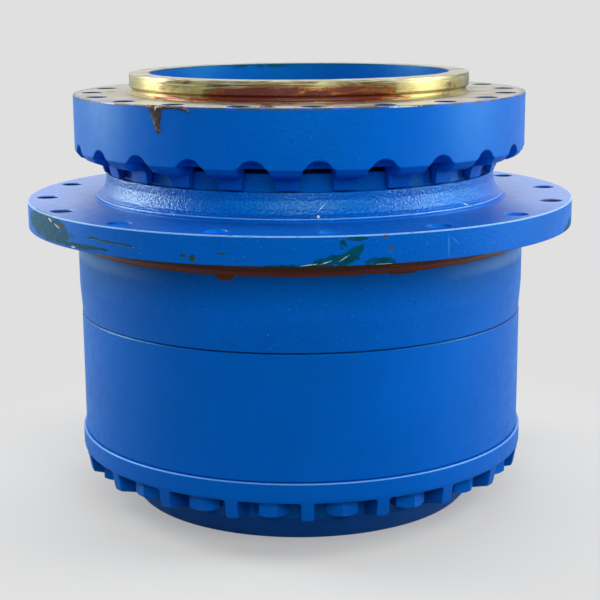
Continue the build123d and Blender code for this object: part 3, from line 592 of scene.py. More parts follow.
def hubMaterial():
    s = hubFinish
    share, roughness = s["share"], s["rough"]
    material, tree, shader, place, paint = paintedMaterial("hubPaint", s["paint"])
    where = objectPlace(tree)
    wobble = times(tree, minus(tree, noise(tree, where, *s["wobbleGrain"]), 0.5), s["wobble"])
    here = {label: place[label] for label in ("Radius", "Height", "Angle")}
    here["Side"] = calc(tree, "ABSOLUTE", here["Angle"])
    here["Wavy Height"] = plus(tree, here["Height"], wobble)
    here["Wavy Angle"] = plus(tree, here["Angle"], wobble)
    # Rust in the corner under the sprocket flange, on the front half
    drips = times(tree, spots(tree, here, s["rustDrips"]), zone(tree, here, s["dripZone"]))
    band = either(tree, zone(tree, here, s["bandZone"]), drips)
    rustTone = patches(tree, stretched(tree, where, s["rustStretch"]), s["rustGrain"])
    rustTone = either(tree, rustTone, times(tree, zone(tree, here, s["redZone"]), share["red"]))
    # Painted sheen on the drum below it, towards the sides: a pale reflection put into the paint colour
    fog = times(tree, zone(tree, here, s["fogZone"]), share["fog"])
    colour = seamed(tree, here, mixed(tree, fog, paint["Color"], s["fog"]))
    colour = mixed(tree, band, colour, mixed(tree, rustTone, s["rust"], s["rustPale"]))
    # The flange's top face: pale dust and a painted reflection towards the sides, and the neck's shade painted
    # darker at the front
    top, sideways = zone(tree, here, s["topZone"]), zone(tree, here, s["sideZone"])
    colour = mixed(tree, times(tree, top, sideways, share["dust"]), colour, s["dust"])
    shaded = times(tree, top, minus(tree, 1, sideways), share["shaded"])
    colour = mixed(tree, shaded, colour, s["shaded"])
    # Scuffs and knocks on the sprocket flange's rim, and scratches there and on the neck
    rim, neck = zone(tree, here, s["rimZone"]), zone(tree, here, s["neckZone"])
    broken = patches(tree, stretched(tree, where, s["brokenStretch"]), s["brokenGrain"])
    scuffs = times(tree, spots(tree, here, s["greenScuffs"]), rim, broken, share["scuffs"])
    scuffTone = patches(tree, where, s["scuffTone"])
    colour = mixed(tree, scuffs, colour, mixed(tree, scuffTone, s["scuff"], s["scuffDark"]))
    masks = {}
    for marks, tint, part in (
        ("brownChips", "chipBrown", rim),
        ("ticks", "tick", rim),
        ("paleChips", "chip", rim),
        ("scratches", "scratch", times(tree, rim, share["scratches"])),
        ("neckScratches", "chip", neck),
    ):
        masks[marks] = times(tree, spots(tree, here, s[marks]), part)
        colour = mixed(tree, masks[marks], colour, s[tint])
    # Bolt holes: painted inside at the front, teal elsewhere, and two of them rusty
    holeWall, painted = zone(tree, here, s["holeZone"]), zone(tree, here, s["paintedHoles"])
    inside = mixed(tree, painted, s["teal"], s["holePaint"])
    inside = mixed(tree, anyZone(tree, here, s["rustyHoles"]), inside, s["chipBrown"])
    colour = mixed(tree, holeWall, colour, inside)
    # Painted highlight along the sprocket flange's top edge and the neck's lip, broken up by noise
    lip = times(tree, zone(tree, here, s["lipZone"]), s["lipShare"])
    edges = either(tree, zone(tree, here, s["highlightEdgeZone"]), lip)
    colour = mixed(tree, times(tree, edges, lerp(tree, broken, *s["highlightRange"])), colour, blue["paintedHighlight"])
    hammer = times(tree, noise(tree, where, *s["hammer"]), neck, s["depth"]["hammer"])
    knocks = plus(tree, masks["brownChips"], masks["paleChips"], masks["ticks"])
    height = plus(tree, hammer, times(tree, knocks, s["depth"]["knocks"]))
    normal = bumped(tree, height, paint["Normal"])
    rough = lerp(tree, band, paint["Roughness"], roughness["band"])
    rough = lerp(tree, scuffs, rough, roughness["scuffs"])
    rough = lerp(tree, neck, rough, roughness["neck"])
    rough = lerp(tree, times(tree, holeWall, minus(tree, 1, painted)), rough, roughness["holes"])
    tint = mixed(tree, either(tree, band, masks["brownChips"]), blue["specularTint"], blue["warmTint"])
    glossy = times(tree, neck, anyZone(tree, here, s["glossyAngles"]), s["coatShare"])
    coat = {"Coat_Weight": glossy, "Coat_Normal": normal, "Coat_Roughness": roughness["coat"]}
    finishShader(tree, shader, colour, rough, normal, Specular_Tint=tint, **coat)
    return material


# Ring gear, cover and bolts; a pale painted highlight runs along the cover's upper edge
plainPaints = {
    "ring_paint": ("ringPaint", {"Grain Depth": 0.02, "Peel Depth": 0.02, "Specks": 0.12, "Rub": 0.15}, None),
    "cover_paint": (
        "coverPaint",
        {"Grain Depth": 0.10, "Specks": 0.2, "Rub": 0.35},
        [("Radius", 232.2, 232.6), ("Height", 73.9, 74.4)],
    ),
    "bolt_paint": ("boltPaint", {"Grain Depth": 0.04, "Rub": 0.3, "Edge Radius": 0.0006}, None),
}
highlightShare = 0.4


def plainPaint(name, values, highlightZone):
    material, tree, shader, place, paint = paintedMaterial(name, values)
    colour = seamed(tree, place, paint["Color"])
    # Painted highlight along the cover's upper edge
    if highlightZone:
        colour = mixed(tree, times(tree, zone(tree, place, highlightZone), highlightShare), colour, blue["paintedHighlight"])
    finishShader(tree, shader, colour, paint["Roughness"], paint["Normal"])
    return material


# Grease and thread oil that ran over the flange
greaseFinish = {
    "dark": srgb(38, 22, 16),
    "pale": srgb(92, 66, 50),
    "flecks": (260, 4, 0.6, 0.52, 0.66),
    "roughness": 0.26,
    "fleckRoughness": 0.2,
    "lumps": (400, 3),
    "lumpDepth": 0.5,
}


def greaseMaterial():
    s = greaseFinish
    material, tree, shader = newMaterial("grease")
    where = objectPlace(tree)
    fleck = patches(tree, where, s["flecks"])
    colour = mixed(tree, fleck, s["dark"], s["pale"])
    rough = plus(tree, s["roughness"], times(tree, fleck, s["fleckRoughness"]))
    plain = put(tree, "ShaderNodeNewGeometry").outputs["Normal"]
    normal = bumped(tree, times(tree, noise(tree, where, *s["lumps"]), s["lumpDepth"]), plain)
    finishShader(tree, shader, colour, rough, normal)
    return material


# Bare metals and rubber inside the housing: colour, dark colour, roughness, metal
metals = {
    "bearing_steel": (srgb(200, 203, 206), srgb(150, 152, 156), 0.18, 1),
    "gear_steel": (srgb(150, 151, 154), srgb(96, 94, 92), 0.30, 1),
    "ground_steel": (srgb(176, 178, 182), srgb(128, 128, 130), 0.24, 1),
    "carrier_iron": (srgb(112, 110, 108), srgb(72, 70, 68), 0.50, 0.9),
    "seal_iron": (srgb(58, 54, 50), srgb(34, 31, 28), 0.5, 0.6),
    "bronze": (srgb(176, 132, 70), srgb(120, 84, 40), 0.34, 1),
    "plug_steel": (srgb(168, 158, 120), srgb(110, 98, 66), 0.36, 1),
    "seal_rubber": (srgb(30, 30, 31), srgb(18, 18, 18), 0.62, 0),
}
metalGrain = {
    "edge": {"Radius": 0.0008, "Amount": 0.5},
    "rubbed": srgb(225, 225, 225),
    "rubShare": 0.5,
    "turning": (4, 3, 0.6),
    "turningStretch": (30, 30, 900),
    "turningDepth": 0.03,
    "clouds": (45, 5, 0.62),
    "darkRange": (0.38, 0.66),
    "dullRange": (0.4, 0.7),
    "dull": 0.16,
}


def metalMaterial(name, colour, dark, rough, metal):
    s = metalGrain
    material, tree, shader = newMaterial(name)
    where = objectPlace(tree)
    edge = useGroup(tree, edgeGroup, s["edge"])
    turning = noise(tree, stretched(tree, where, s["turningStretch"]), *s["turning"])
    clouds = noise(tree, where, *s["clouds"])
    colour = mixed(tree, rise(tree, clouds, *s["darkRange"]), colour, dark)
    colour = mixed(tree, times(tree, edge["Rub"], s["rubShare"]), colour, s["rubbed"])
    rough = plus(tree, rough, times(tree, rise(tree, clouds, *s["dullRange"]), s["dull"]))
    normal = bumped(tree, times(tree, turning, s["turningDepth"]), edge["Normal"])
    finishShader(tree, shader, colour, rough, normal, metal)
    return material


materials = {"spindle_paint": spindleMaterial(), "hub_paint": hubMaterial()}
for slotName, look in plainPaints.items():
    materials[slotName] = plainPaint(*look)
for slotName, look in metals.items():
    materials[slotName] = metalMaterial(slotName, *look)
grease = greaseMaterial()
steel = steelMaterial()
print("materials:", len(materials) + 2)


def dress(obj, slotName):
    obj.data.materials.clear()
    obj.data.materials.append(materials[slotName])


slotOf = {row["node"]: row["material_slot"] for row in frame["record"]["subparts"]}
for nodeName, node in frame["nodes"].items():
    dress(node, slotOf[nodeName])


longestCut = 0.45  # of a side, so that the roundings at its two ends stay apart


# Outlines: corners (r, z, size) in mm, each rounded by its size
def rounded(corners, steps=3):
    points = []
    for i, (r, z, size) in enumerate(corners):
        if size == 0 or i in (0, len(corners) - 1):
            points.append(Vector((r, z)))
            continue
        here = Vector((r, z))
        back = Vector(corners[i - 1][:2]) - here
        ahead = Vector(corners[i + 1][:2]) - here
        reach = min(size / math.tan(back.angle(ahead) / 2), longestCut * min(back.length, ahead.length))
        start = here + back.normalized() * reach
        end = here + ahead.normalized() * reach
        for step in range(steps + 1):
            t = step / steps
            points.append((1 - t) ** 2 * start + 2 * t * (1 - t) * here + t * t * end)
    return points


def polar(radius, degrees, height=0.0):
    turn = math.radians(degrees)
    return Vector((radius * math.cos(turn), radius * math.sin(turn), height)) * mm


def smooth(t):
    t = min(max(t, 0.0), 1.0)
    return t * t * (3 - 2 * t)


def bothSides(halves):
    # Places from the middle out, made one run from the far left to the far right
    return [-x for x in reversed(halves[1:])] + list(halves)


def webMesh(name, columns):
    # Each column holds the same strips of points; faces join neighbouring columns
    vertices, faces, starts = [], [], []
    for column in columns:
        starts.append(len(vertices))
        for strip in column:
            vertices += strip
    for left, right in zip(starts, starts[1:]):
        offset = 0
        for strip in columns[0]:
            for i in range(offset, offset + len(strip) - 1):
                faces.append((left + i, right + i, right + i + 1, left + i + 1))
            offset += len(strip)
    mesh = bpy.data.meshes.new(name)
    mesh.from_pydata(vertices, [], faces)
    return mesh


def turned(name, strips, columns=360):
    web = []
    for i in range(columns + 1):
        angle = i % columns * 360 / columns
        web.append([[polar(r, angle, z) for r, z in strip] for strip in strips])
    return webMesh(name, web)


# Geometry nodes: one piece set round the drive's axis
def makeRoundTree():
    inputs = [
        ("Piece", "Geometry"),
        ("Count", "Int", 20),
        ("Circle Radius", "Float", 0.0),
        ("First Angle", "Float", 0.0),
        ("First Turn", "Float", 0.0),
        ("Turn Step", "Float", 18.0),
        ("Weld", "Float", 0.000001),
        ("Material", "Material"),
    ]
    tree, given, out = newGroup("placeRound", "GeometryNodeTree", inputs, [("Result", "Geometry")])
    index = put(tree, "GeometryNodeInputIndex").outputs[0]
    share = calc(tree, "DIVIDE", 360.0, given["Count"])
    angle = calc(tree, "RADIANS", plus(tree, given["First Angle"], times(tree, index, share)))
    turn = calc(tree, "RADIANS", plus(tree, given["First Turn"], times(tree, index, given["Turn Step"])))
    x, y = (times(tree, given["Circle Radius"], calc(tree, way, angle)) for way in ("COSINE", "SINE"))
    spot = put(tree, "ShaderNodeCombineXYZ", {"X": x, "Y": y}).outputs[0]
    facing = put(tree, "ShaderNodeCombineXYZ", {"Z": turn}).outputs[0]
    result = put(tree, "GeometryNodeMeshLine", {"Count": given["Count"], "Offset": (0, 0, 0)}).outputs[0]
    for kind, first, more in (
        ("GeometryNodeSetPosition", "Geometry", {"Position": spot}),
        ("GeometryNodeInstanceOnPoints", "Points", {"Instance": given["Piece"], "Rotation": facing}),
        ("GeometryNodeRealizeInstances", "Geometry", {}),
        ("GeometryNodeMergeByDistance", "Geometry", {"Distance": given["Weld"]}),
        ("GeometryNodeSetMaterial", "Geometry", {"Material": given["Material"]}),
    ):
        result = put(tree, kind, {first: result, **more}).outputs[0]
    feed(tree, out[0], result)
    return tree


roundTree = makeRoundTree()


def settled(obj):
    # The object's mesh as its modifiers leave it
    graph = bpy.context.evaluated_depsgraph_get()
    final = obj.evaluated_get(graph)
    return bpy.data.meshes.new_from_object(final, preserve_all_data_layers=True, depsgraph=graph)


def newObject(name, mesh):
    obj = bpy.data.objects.new(name, mesh)
    bpy.context.collection.objects.link(obj)
    return obj


def setRound(mesh, values):
    # The mesh repeated by the tree, as one plain mesh
    obj = newObject("repeated", mesh)
    modifier = obj.modifiers.new("placeRound", "NODES")
    modifier.node_group = roundTree
    for item in roundTree.interface.items_tree:
        if item.in_out == "INPUT" and item.name in values:
            modifier[item.identifier] = values[item.name]
    result = settled(obj)
    bpy.data.objects.remove(obj)
    return result


def setSectors(columns, name, count, firstSector):
    # Sectors that share their borders, turned one after the other until they close
    first = frontAngle + firstSector
    around = {"Count": count, "First Angle": first, "First Turn": first, "Turn Step": 360 / count}
    return setRound(webMesh(name, columns), around)


def joinRings(work, rings):
    for above, below in zip(rings, rings[1:]):
        for i in range(len(above)):
            j = (i + 1) % len(above)
            work.faces.new((above[i], above[j], below[j], below[i]))


def drill(work, holes, segments=32):
    # A hole is a set of rings (radius, height) from the face it starts in; without a second face it has
    # a flat end
    for hole in holes:
        for k in range(hole["count"]):
            middle = polar(hole["circle"], hole["first"] + k * 360 / hole["count"])
            rings = []
            for radius, height in hole["rings"]:
                spots = [middle + polar(radius, i * 360 / segments, height) for i in range(segments)]
                rings.append([work.verts.new(spot) for spot in spots])
            joinRings(work, rings)
            if not hole.get("through"):
                work.faces.new(rings[-1])


def closeFlat(work, height):
    # Fills the flat face between the open borders at this height, round the holes in it
    level = height * mm
    border = [e for e in work.edges if e.is_boundary and all(abs(v.co.z - level) < 1e-6 for v in e.verts)]
    bmesh.ops.triangle_fill(work, use_beauty=True, use_dissolve=False, edges=border)


def keepMesh(work, mesh):
    work.to_mesh(mesh)
    work.free()
    return mesh


def weld(work, kind):
    bmesh.ops.remove_doubles(work, verts=work.verts, dist=weldWithin[kind])


weldWithin = {"castings": 2e-6, "teeth": 1e-6}  # metres
sharpFrom = {"castings": 32.0, "teeth": 24.0}  # degrees between faces


def handOver(piece, body, nodeName):
    # The piece's finish, the body that it moves with and the solid that it stands for
    dress(piece, slotOf[nodeName])
    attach(piece, body)
    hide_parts(nodeName)


def finishPiece(name, mesh, body, nodeName, flats=(), holes=()):
    work = bmesh.new()
    work.from_mesh(mesh)
    weld(work, "castings")
    drill(work, holes)
    for height in flats:
        closeFlat(work, height)
    weld(work, "castings")
    bmesh.ops.recalc_face_normals(work, faces=work.faces)
    openEdges = sum(not edge.is_manifold for edge in work.edges)
    keepMesh(work, mesh)
    mesh.shade_smooth()
    mesh.set_sharp_from_angle(angle=math.radians(sharpFrom["castings"]))
    piece = newObject(name, mesh)
    piece.modifiers.new("evenNormals", "WEIGHTED_NORMAL").keep_sharp = True
    piece.data = settled(piece)
    piece.modifiers.clear()
    handOver(piece, body, nodeName)
    triangles = sum(len(face.vertices) - 2 for face in piece.data.polygons)
    print(f"{name}: {triangles} triangles, {openEdges} open edges")
    return piece


# Spindle: frame flange with an ogee arch over each slot, posts between them, spigot and motor seat.
# A corner of an outline is its radius, its height and its rounding
spindleShape = {
    "archCount": 24,
    "bareFrom": 422.75,
    "bareInner": 155.4,
    "firstArch": 4.3,
    "wall": 232.4,
    "wallTop": 386.0,
    "wallEdge": 367.5,
    "archRadius": 14.2,
    "archMiddle": 361.9,
    "archMeets": 11.6,
    "flareRadius": 6.0,
    "flareAcross": 16.5,
    "postFrom": 13.2,
    "postBlend": 2.8,
    "parallelDown": 195.0,
    "across": (0, 3, 6, 8.5, 10.3, 11.6, 12.6, 13.3, 13.8, 14.3, 14.8, 15.4, 16.5, 19, 23),
    "rim": [(230.4, 422.9, 0), (232.4, 422.9, 1.6), (232.4, 386.0, 0)],
    # Under the arch: radius, drop below the arch, lowest height, rounding
    "slotMouth": [(232.4, 0, 0, 1.2), (225.0, 2.2, 367.2, 3), (217.5, 5.2, 367.0, 3)],
    "slotRoof": [
        (214.5, 366.9, 0.3), (210, 366.8, 0.3), (204, 366.7, 0.3),
        (199.5, 366.6, 0.3), (197.0, 366.0, 0.3), (190, 364, 0),
    ],
    "postMouth": [(232.4, 0, 0, 2.4), (228.2, 5.6, 0, 5), (221.5, 8.4, 0, 4)],
    "postBack": [
        (207.0, 357.6, 9), (205.2, 350.5, 3), (203.8, 345.2, 1.2),
        (197.5, 345.0, 0.6), (197.4, 363.9, 0.3), (190, 364, 0),
    ],
    "inside": [
        (190, 364, 0), (188, 364, 0.4), (188, 377.2, 0.4), (164, 377.2, 1), (164, 346, 1), (148, 333, 0),
        (148, 328, 0), (140, 328, 0), (140, 226, 0), (138, 226, 0), (138, 214, 0), (124, 214, 0.5),
        (124, 197, 0.5), (104, 197, 0.5), (104, 292, 2), (38, 306, 0.5), (38, 316, 0), (46.1, 316, 0),
        (46.1, 330, 0.5), (112, 330, 0.5), (112, 352, 0),
    ],
    "bore": [
        (154, 352, 0), (154, 443.2, 1.6), (175, 443.2, 1.6), (175, 430.15, 0.5),
        (172.5, 427.65, 0.8), (172.5, 425.4, 0.8), (175, 422.9, 0),
    ],
    "frameHoles": {
        "count": 20,
        "circle": 214.0,
        "first": frontAngle + 3.2,
        "rings": [(11.2, 422.9), (9.75, 421.5), (9.75, 384.9)],
    },
    "motorHoles": {
        "count": 12,
        "circle": 134.0,
        "first": 15.0,
        "rings": [(7.8, 352), (7.0, 351.2), (7.0, 331.0)],
    },
}


def archEdge(x):
    # Height of the wall's lower edge, x mm from the middle of an arch
    s = spindleShape
    x = abs(x)
    if x < s["archMeets"]:
        return s["archMiddle"] + math.sqrt(s["archRadius"] ** 2 - x * x)
    lean = max(s["flareAcross"] - x, 0)
    return s["wallEdge"] + s["flareRadius"] - math.sqrt(s["flareRadius"] ** 2 - lean * lean)


def acrossAngle(x, r):
    # Slot sides run parallel, and the rest of a post narrows with the radius
    s = spindleShape
    r = max(r, s["parallelDown"])
    half = math.radians(180 / s["archCount"])
    side, far = s["flareAcross"], s["wall"] * math.sin(half)
    if abs(x) > side:
        x = math.copysign(side + (abs(x) - side) / (far - side) * (r * math.sin(half) - side), x)
    return math.degrees(math.asin(x / r))


def makeSpindle():
    s = spindleShape
    border = s["wall"] * math.sin(math.radians(180 / s["archCount"]))
    rim, inside, bore = rounded(s["rim"]), rounded(s["inside"]), rounded(s["bore"])
    columns = []
    for x in bothSides((*s["across"], border)):
        edge = archEdge(x)
        slot, post = (
            rounded(
                [
                    (s["wall"], s["wallTop"], 0),
                    *[(r, max(edge - drop, lowest), size) for r, drop, lowest, size in s[mouth]],
                    *s[rest],
                ]
            )
            for mouth, rest in (("slotMouth", "slotRoof"), ("postMouth", "postBack"))
        )
        share = smooth((abs(x) - s["postFrom"]) / s["postBlend"])
        outline = [*rim, *[a.lerp(b, share) for a, b in zip(slot, post)][1:], *inside[1:]]
        columns.append([[polar(r, acrossAngle(x, r), z) for r, z in strip] for strip in (outline, bore)])
    mesh = setSectors(columns, "archSector", s["archCount"], s["firstArch"])
    flats = (s["rim"][0][1], s["bore"][0][1])
    holes = [s["frameHoles"], s["motorHoles"]]
    piece = finishPiece("spindleCasting", mesh, "spindle_side", "spindle", flats, holes)
    # The top face and the spigot are bare
    piece.data.materials.append(steel)
    for face in piece.data.polygons:
        radius = Vector(face.center[:2]).length / mm
        if face.center.z / mm > s["bareFrom"] and s["bareInner"] < radius < s["rim"][0][0]:
            face.material_index = 1


makeSpindle()


# Hub: drum, sprocket flange, cast neck and the collar behind the posts
hubShape = {
    "upper": [
        (214.6, 316.9, 0), (212.2, 317.2, 0.8), (211.8, 320.9, 1.4), (209.8, 321.2, 0.6),
        (206.4, 324.2, 4), (203.3, 329.2, 6), (201.5, 336, 6), (201.5, 343.7, 1.6),
        (195.5, 343.7, 0.8), (195.5, 360.4, 0.8), (188, 360.4, 0.8), (188, 346, 0.8),
        (182, 346, 0.5), (182, 290, 0.5), (172, 290, 0.5), (172, 264, 0.5), (182, 264, 0.5),
        (182, 226, 0.5), (184, 222, 0.5), (184, 190, 0.5), (190, 190, 0.5), (190, 199, 0),
    ],
    "drum": [
        (229.3, 199, 0), (230.3, 200, 0.4), (232.3, 229.4, 8), (232.3, 273.5, 2),
        (236, 277.2, 2), (236, 289.2, 0.8), (237.2, 290.1, 0),
    ],
    "flange": [(280.4, 290.1, 0), (281.9, 290.1, 1.4), (281.9, 316.9, 1.4), (280.4, 316.9, 0)],
    "sprocketHoles": {
        "count": 16,
        "circle": 262.0,
        "first": frontAngle + 5.9,
        "rings": [(11.9, 316.9), (11.0, 316.0), (11.0, 291.0), (11.9, 290.1)],
        "through": True,
    },
    "coverBoltHoles": {
        "count": 20,
        "circle": 212.5,
        "first": frontAngle + 10.3,
        "rings": [(10.1, 199), (10.1, 239)],
    },
}


def makeHub():
    s = hubShape
    mesh = turned("hub", [rounded(s[part]) for part in ("upper", "drum", "flange")])
    flats = (s["flange"][0][1], s["flange"][-1][1], s["drum"][0][1])
    holes = [s["sprocketHoles"], s["coverBoltHoles"]]
    finishPiece("hubCasting", mesh, "drum_side", "rotating_hub", flats, holes)


makeHub()


# Ring gear: its own teeth, with the band's light even all round
bandDepth = 0.4
steepest = 0.5  # of a band face's normal, up or down


def makeRingGear():
    band = max(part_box("ring_gear")[1][:2]) - bandDepth * mm
    work = bmesh.new()
    work.from_mesh(frame["nodes"]["ring_gear"].data)
    weld(work, "teeth")
    mesh = keepMesh(work, frame["nodes"]["ring_gear"].data.copy())
    mesh.shade_smooth()
    mesh.set_sharp_from_angle(angle=math.radians(sharpFrom["teeth"]))
    normals = [Vector(corner.vector) for corner in mesh.corner_normals]
    for face in mesh.polygons:
        spots = [mesh.vertices[i].co for i in face.vertices]
        if min(Vector(spot[:2]).length for spot in spots) > band and abs(face.normal.z) < steepest:
            for corner, spot in zip(face.loop_indices, spots):
                normals[corner] = Vector((spot.x, spot.y, 0)).normalized()
    mesh.normals_split_custom_set(normals)
    piece = newObject("ringGearBody", mesh)
    handOver(piece, "drum_side", "ring_gear")
    print("ringGearBody:", len(mesh.polygons), "triangles")


makeRingGear()


# Cover: dished floor with a rib between each two bolt pockets
coverShape = {
    "pocketCount": 20,
    "firstRib": 19.3,
    "ribHalf": 6.0,
    "ribCorner": 2.0,
    "sideStep": 0.12,
    "roof": 55.5,
    "roofFillet": 2.5,
    "back": 200.0,
    "backEdge": 48.0,
    "domeHeight": 29.0,
    "domeSlope": 0.72,
    "boltCircle": 212.5,
    "washerReach": 17.5,
    "acrossRib": (0, 3, 4.1, 4.9, 5.5, 5.85, 6.0),
    "besideRib": (6.12, 6.4, 7.0, 7.8, 8.6),
    "pocketAngles": (3.2, 4.3, 5.1, 5.5, 5.9, 6.6, 7.6, 9.0),
    "face": [(172.5, 0, 0), (176.5, 0, 4), (188, 13.6, 12), (196, 25.4, 0)],
    # The last number says whether the rib's rounded back lifts the corner
    "ribEdge": [(200, 29, 2, 0), (212, 32.2, 1, 1), (230, 37, 1.6, 1), (230.9, 40, 1, 1), (233.6, 55.5, 1, 0)],
    "rim": [
        (234, 58.5, 1), (234, 75.1, 1.8), (190, 75.1, 0), (190, 84.1, 0.5),
        (178, 84.1, 0.5), (176, 65.1, 0), (176, 40, 6), (160, 14, 0),
    ],
    "boss": [(44, 14, 0), (38, 20, 1), (38, 75.2, 0.5), (24.1, 75.2, 0), (24.1, 71.2, 0), (0.001, 71.2, 0)],
    "plugHoles": {
        "count": 3,
        "circle": 108.0,
        "first": 90.0,
        "rings": [(21, 0), (21, 8), (13.1, 8), (13.1, 23), (21, 23), (21, 14)],
        "through": True,
    },
}


def fillet(reach, size):
    # Rise of a quarter round over its reach
    left = min(max(size - reach, 0), size)
    return size - math.sqrt(size * size - left * left)


def coverColumn(angle, x, onRib):
    # One column of the sector: angle from the middle of a rib, or x mm beside it
    s = coverShape
    if onRib:
        lift = fillet(s["ribHalf"] - abs(x), s["ribCorner"])
        edge = [(r, z + lift * lifted, size) for r, z, size, lifted in s["ribEdge"]]
    else:
        apart = math.radians(180 / s["pocketCount"] - abs(angle))
        off = s["boltCircle"] * math.sin(apart)
        back = s["back"]
        if off < s["washerReach"]:
            back = min(back, s["boltCircle"] * math.cos(apart) - math.sqrt(s["washerReach"] ** 2 - off * off))
        roof = s["roof"]
        if x is not None:
            roof -= fillet(abs(x) - s["ribHalf"] - s["sideStep"], s["roofFillet"])
        # The back stands a little inside the dome's own line, so the wall starts at the dome
        start = s["domeHeight"] - (s["back"] - back) * s["domeSlope"]
        edge = [(back, start, 0.6), (back, s["backEdge"], 0.5), (back, roof, 2)]
        edge += [(212, roof, 0.5), (233.5, roof, 0.8)]
    column = []
    for strip in (rounded([*s["face"], *edge, *s["rim"]]), rounded(s["boss"])):
        run = []
        for r, z in strip:
            turn = angle if x is None else math.degrees(math.asin(x / max(r, s["face"][1][0])))
            run.append(polar(r, turn, z))
        column.append(run)
    return column


def makeCover():
    s = coverShape
    columns = [coverColumn(None, x, True) for x in s["acrossRib"]]
    columns += [coverColumn(math.degrees(x / s["back"]), x, False) for x in s["besideRib"]]
    columns += [coverColumn(angle, None, False) for angle in s["pocketAngles"]]
    mirrored = []
    for column in reversed(columns[1:]):
        mirrored.append([[Vector((p.x, -p.y, p.z)) for p in strip] for strip in column])
    mesh = setSectors(mirrored + columns, "ribSector", s["pocketCount"], s["firstRib"])
    flats = (s["face"][0][1], s["rim"][-1][1])
    finishPiece("coverCasting", mesh, "drum_side", "cover", flats, [s["plugHoles"]])


makeCover()


# Cover bolts: hexagon heads with turned ends, each left at its own angle, and their washers
boltShape = {
    "count": 20,
    "circle": 212.5,
    "firstAngle": 10.3,
    "flats": 30.0,
    "headLow": 39.0,
    "headHigh": 51.5,
    "endCircle": 14.1,
    "endSlope": 30.0,
    "shank": 10.0,
    "shankEnd": 237.0,
    "sideSteps": 6,
    "turnStep": 23.0,
    "washerOuter": 17.0,
    "washerInner": 10.1,
    "washerLow": 51.5,
    "washerHigh": 55.5,
    "washerSoft": 0.5,
}


def ringsMesh(name, rings, closed):
    # Rings of points joined one to the next; the ends are closed flat, or joined to each other
    work = bmesh.new()
    made = [[work.verts.new(point) for point in ring] for ring in rings]
    if closed:
        joinRings(work, made)
        work.faces.new(made[0])
        work.faces.new(made[-1])
    else:
        joinRings(work, [*made, made[0]])
    bmesh.ops.recalc_face_normals(work, faces=work.faces)
    return keepMesh(work, bpy.data.meshes.new(name))


def makeBolts():
    s = boltShape
    steps = 6 * s["sideSteps"]
    half = s["flats"] / 2
    angles = [i * 360 / steps for i in range(steps)]
    reach = [half / math.cos(math.radians((angle + 30) % 60 - 30)) for angle in angles]
    slope = math.tan(math.radians(s["endSlope"]))
    head = [
        [polar(s["endCircle"], a, s["headLow"]) for a in angles],
        [polar(r, a, s["headLow"] + (r - s["endCircle"]) * slope) for r, a in zip(reach, angles)],
        [polar(r, a, s["headHigh"]) for r, a in zip(reach, angles)],
        [polar(s["shank"], a, s["headHigh"]) for a in angles],
        [polar(s["shank"], a, s["shankEnd"]) for a in angles],
    ]
    profile = [
        (s["washerInner"], s["washerLow"]),
        (s["washerOuter"] - s["washerSoft"], s["washerLow"]),
        (s["washerOuter"], s["washerLow"] + s["washerSoft"]),
        (s["washerOuter"], s["washerHigh"]),
        (s["washerInner"], s["washerHigh"]),
    ]
    washer = [[polar(r, a, z) for a in angles] for r, z in profile]
    around = {
        "Count": s["count"],
        "Circle Radius": s["circle"] * mm,
        "First Angle": frontAngle + s["firstAngle"],
        "Turn Step": s["turnStep"],
    }
    for name, mesh, nodeName in (
        ("coverBoltSet", ringsMesh("boltHead", head, True), "cover_bolts"),
        ("coverWasherSet", ringsMesh("washer", washer, False), "cover_bolt_washers"),
    ):
        finishPiece(name, setRound(mesh, around), "drum_side", nodeName)


makeBolts()


# Grease drip on the frame flange: a thin skin whose thickness comes from tapered runs
greaseShape = {
    "wall": 232.4,
    "angles": (-39.0, -22.5),
    "heights": (395.0, 423.4),
    "cell": 0.5,
    "under": 0.6,
    "melt": 5.0,  # how fast a run thins out beside its middle
    "thick": 1.5,
    "fullFrom": 0.9,
    "sink": 0.12,
    "deepest": -0.3,
    "skirt": 0.6,  # share of the level at which cells are still made
    "topFrom": 421.4,
    "topSoft": 1.6,
    "topInset": 0.8,
    "runs": [
        ((-36.8, 423.6, 2.6), (-35.4, 420.8, 4.0)),
        ((-35.4, 420.8, 4.2), (-34.3, 415.0, 5.4)),
        ((-34.3, 415.0, 5.4), (-33.6, 400.6, 3.1)),
        ((-33.6, 420.0, 5.0), (-33.9, 413.0, 5.2)),
        ((-32.8, 422.0, 3.6), (-31.0, 422.4, 2.1)),
        ((-31.0, 422.4, 2.2), (-28.0, 422.0, 1.6)),
        ((-28.0, 422.0, 1.7), (-26.0, 420.2, 1.6)),
        ((-26.0, 420.2, 1.6), (-25.2, 418.6, 0.9)),
    ],
}


def greaseDepth(across, height, perDegree):
    # How near a place lies to the runs, 1 in the middle of one; the runs melt into each other
    s = greaseShape
    here = Vector((across, height))
    near = 0.0
    for (angleA, heightA, sizeA), (angleB, heightB, sizeB) in s["runs"]:
        a = Vector((angleA * perDegree, heightA))
        b = Vector((angleB * perDegree, heightB))
        share = min(max((here - a).dot(b - a) / (b - a).length_squared, 0), 1)
        gap = (here - a.lerp(b, share)).length / (sizeA + (sizeB - sizeA) * share)
        near += math.exp(-s["melt"] * gap * gap)
    return near


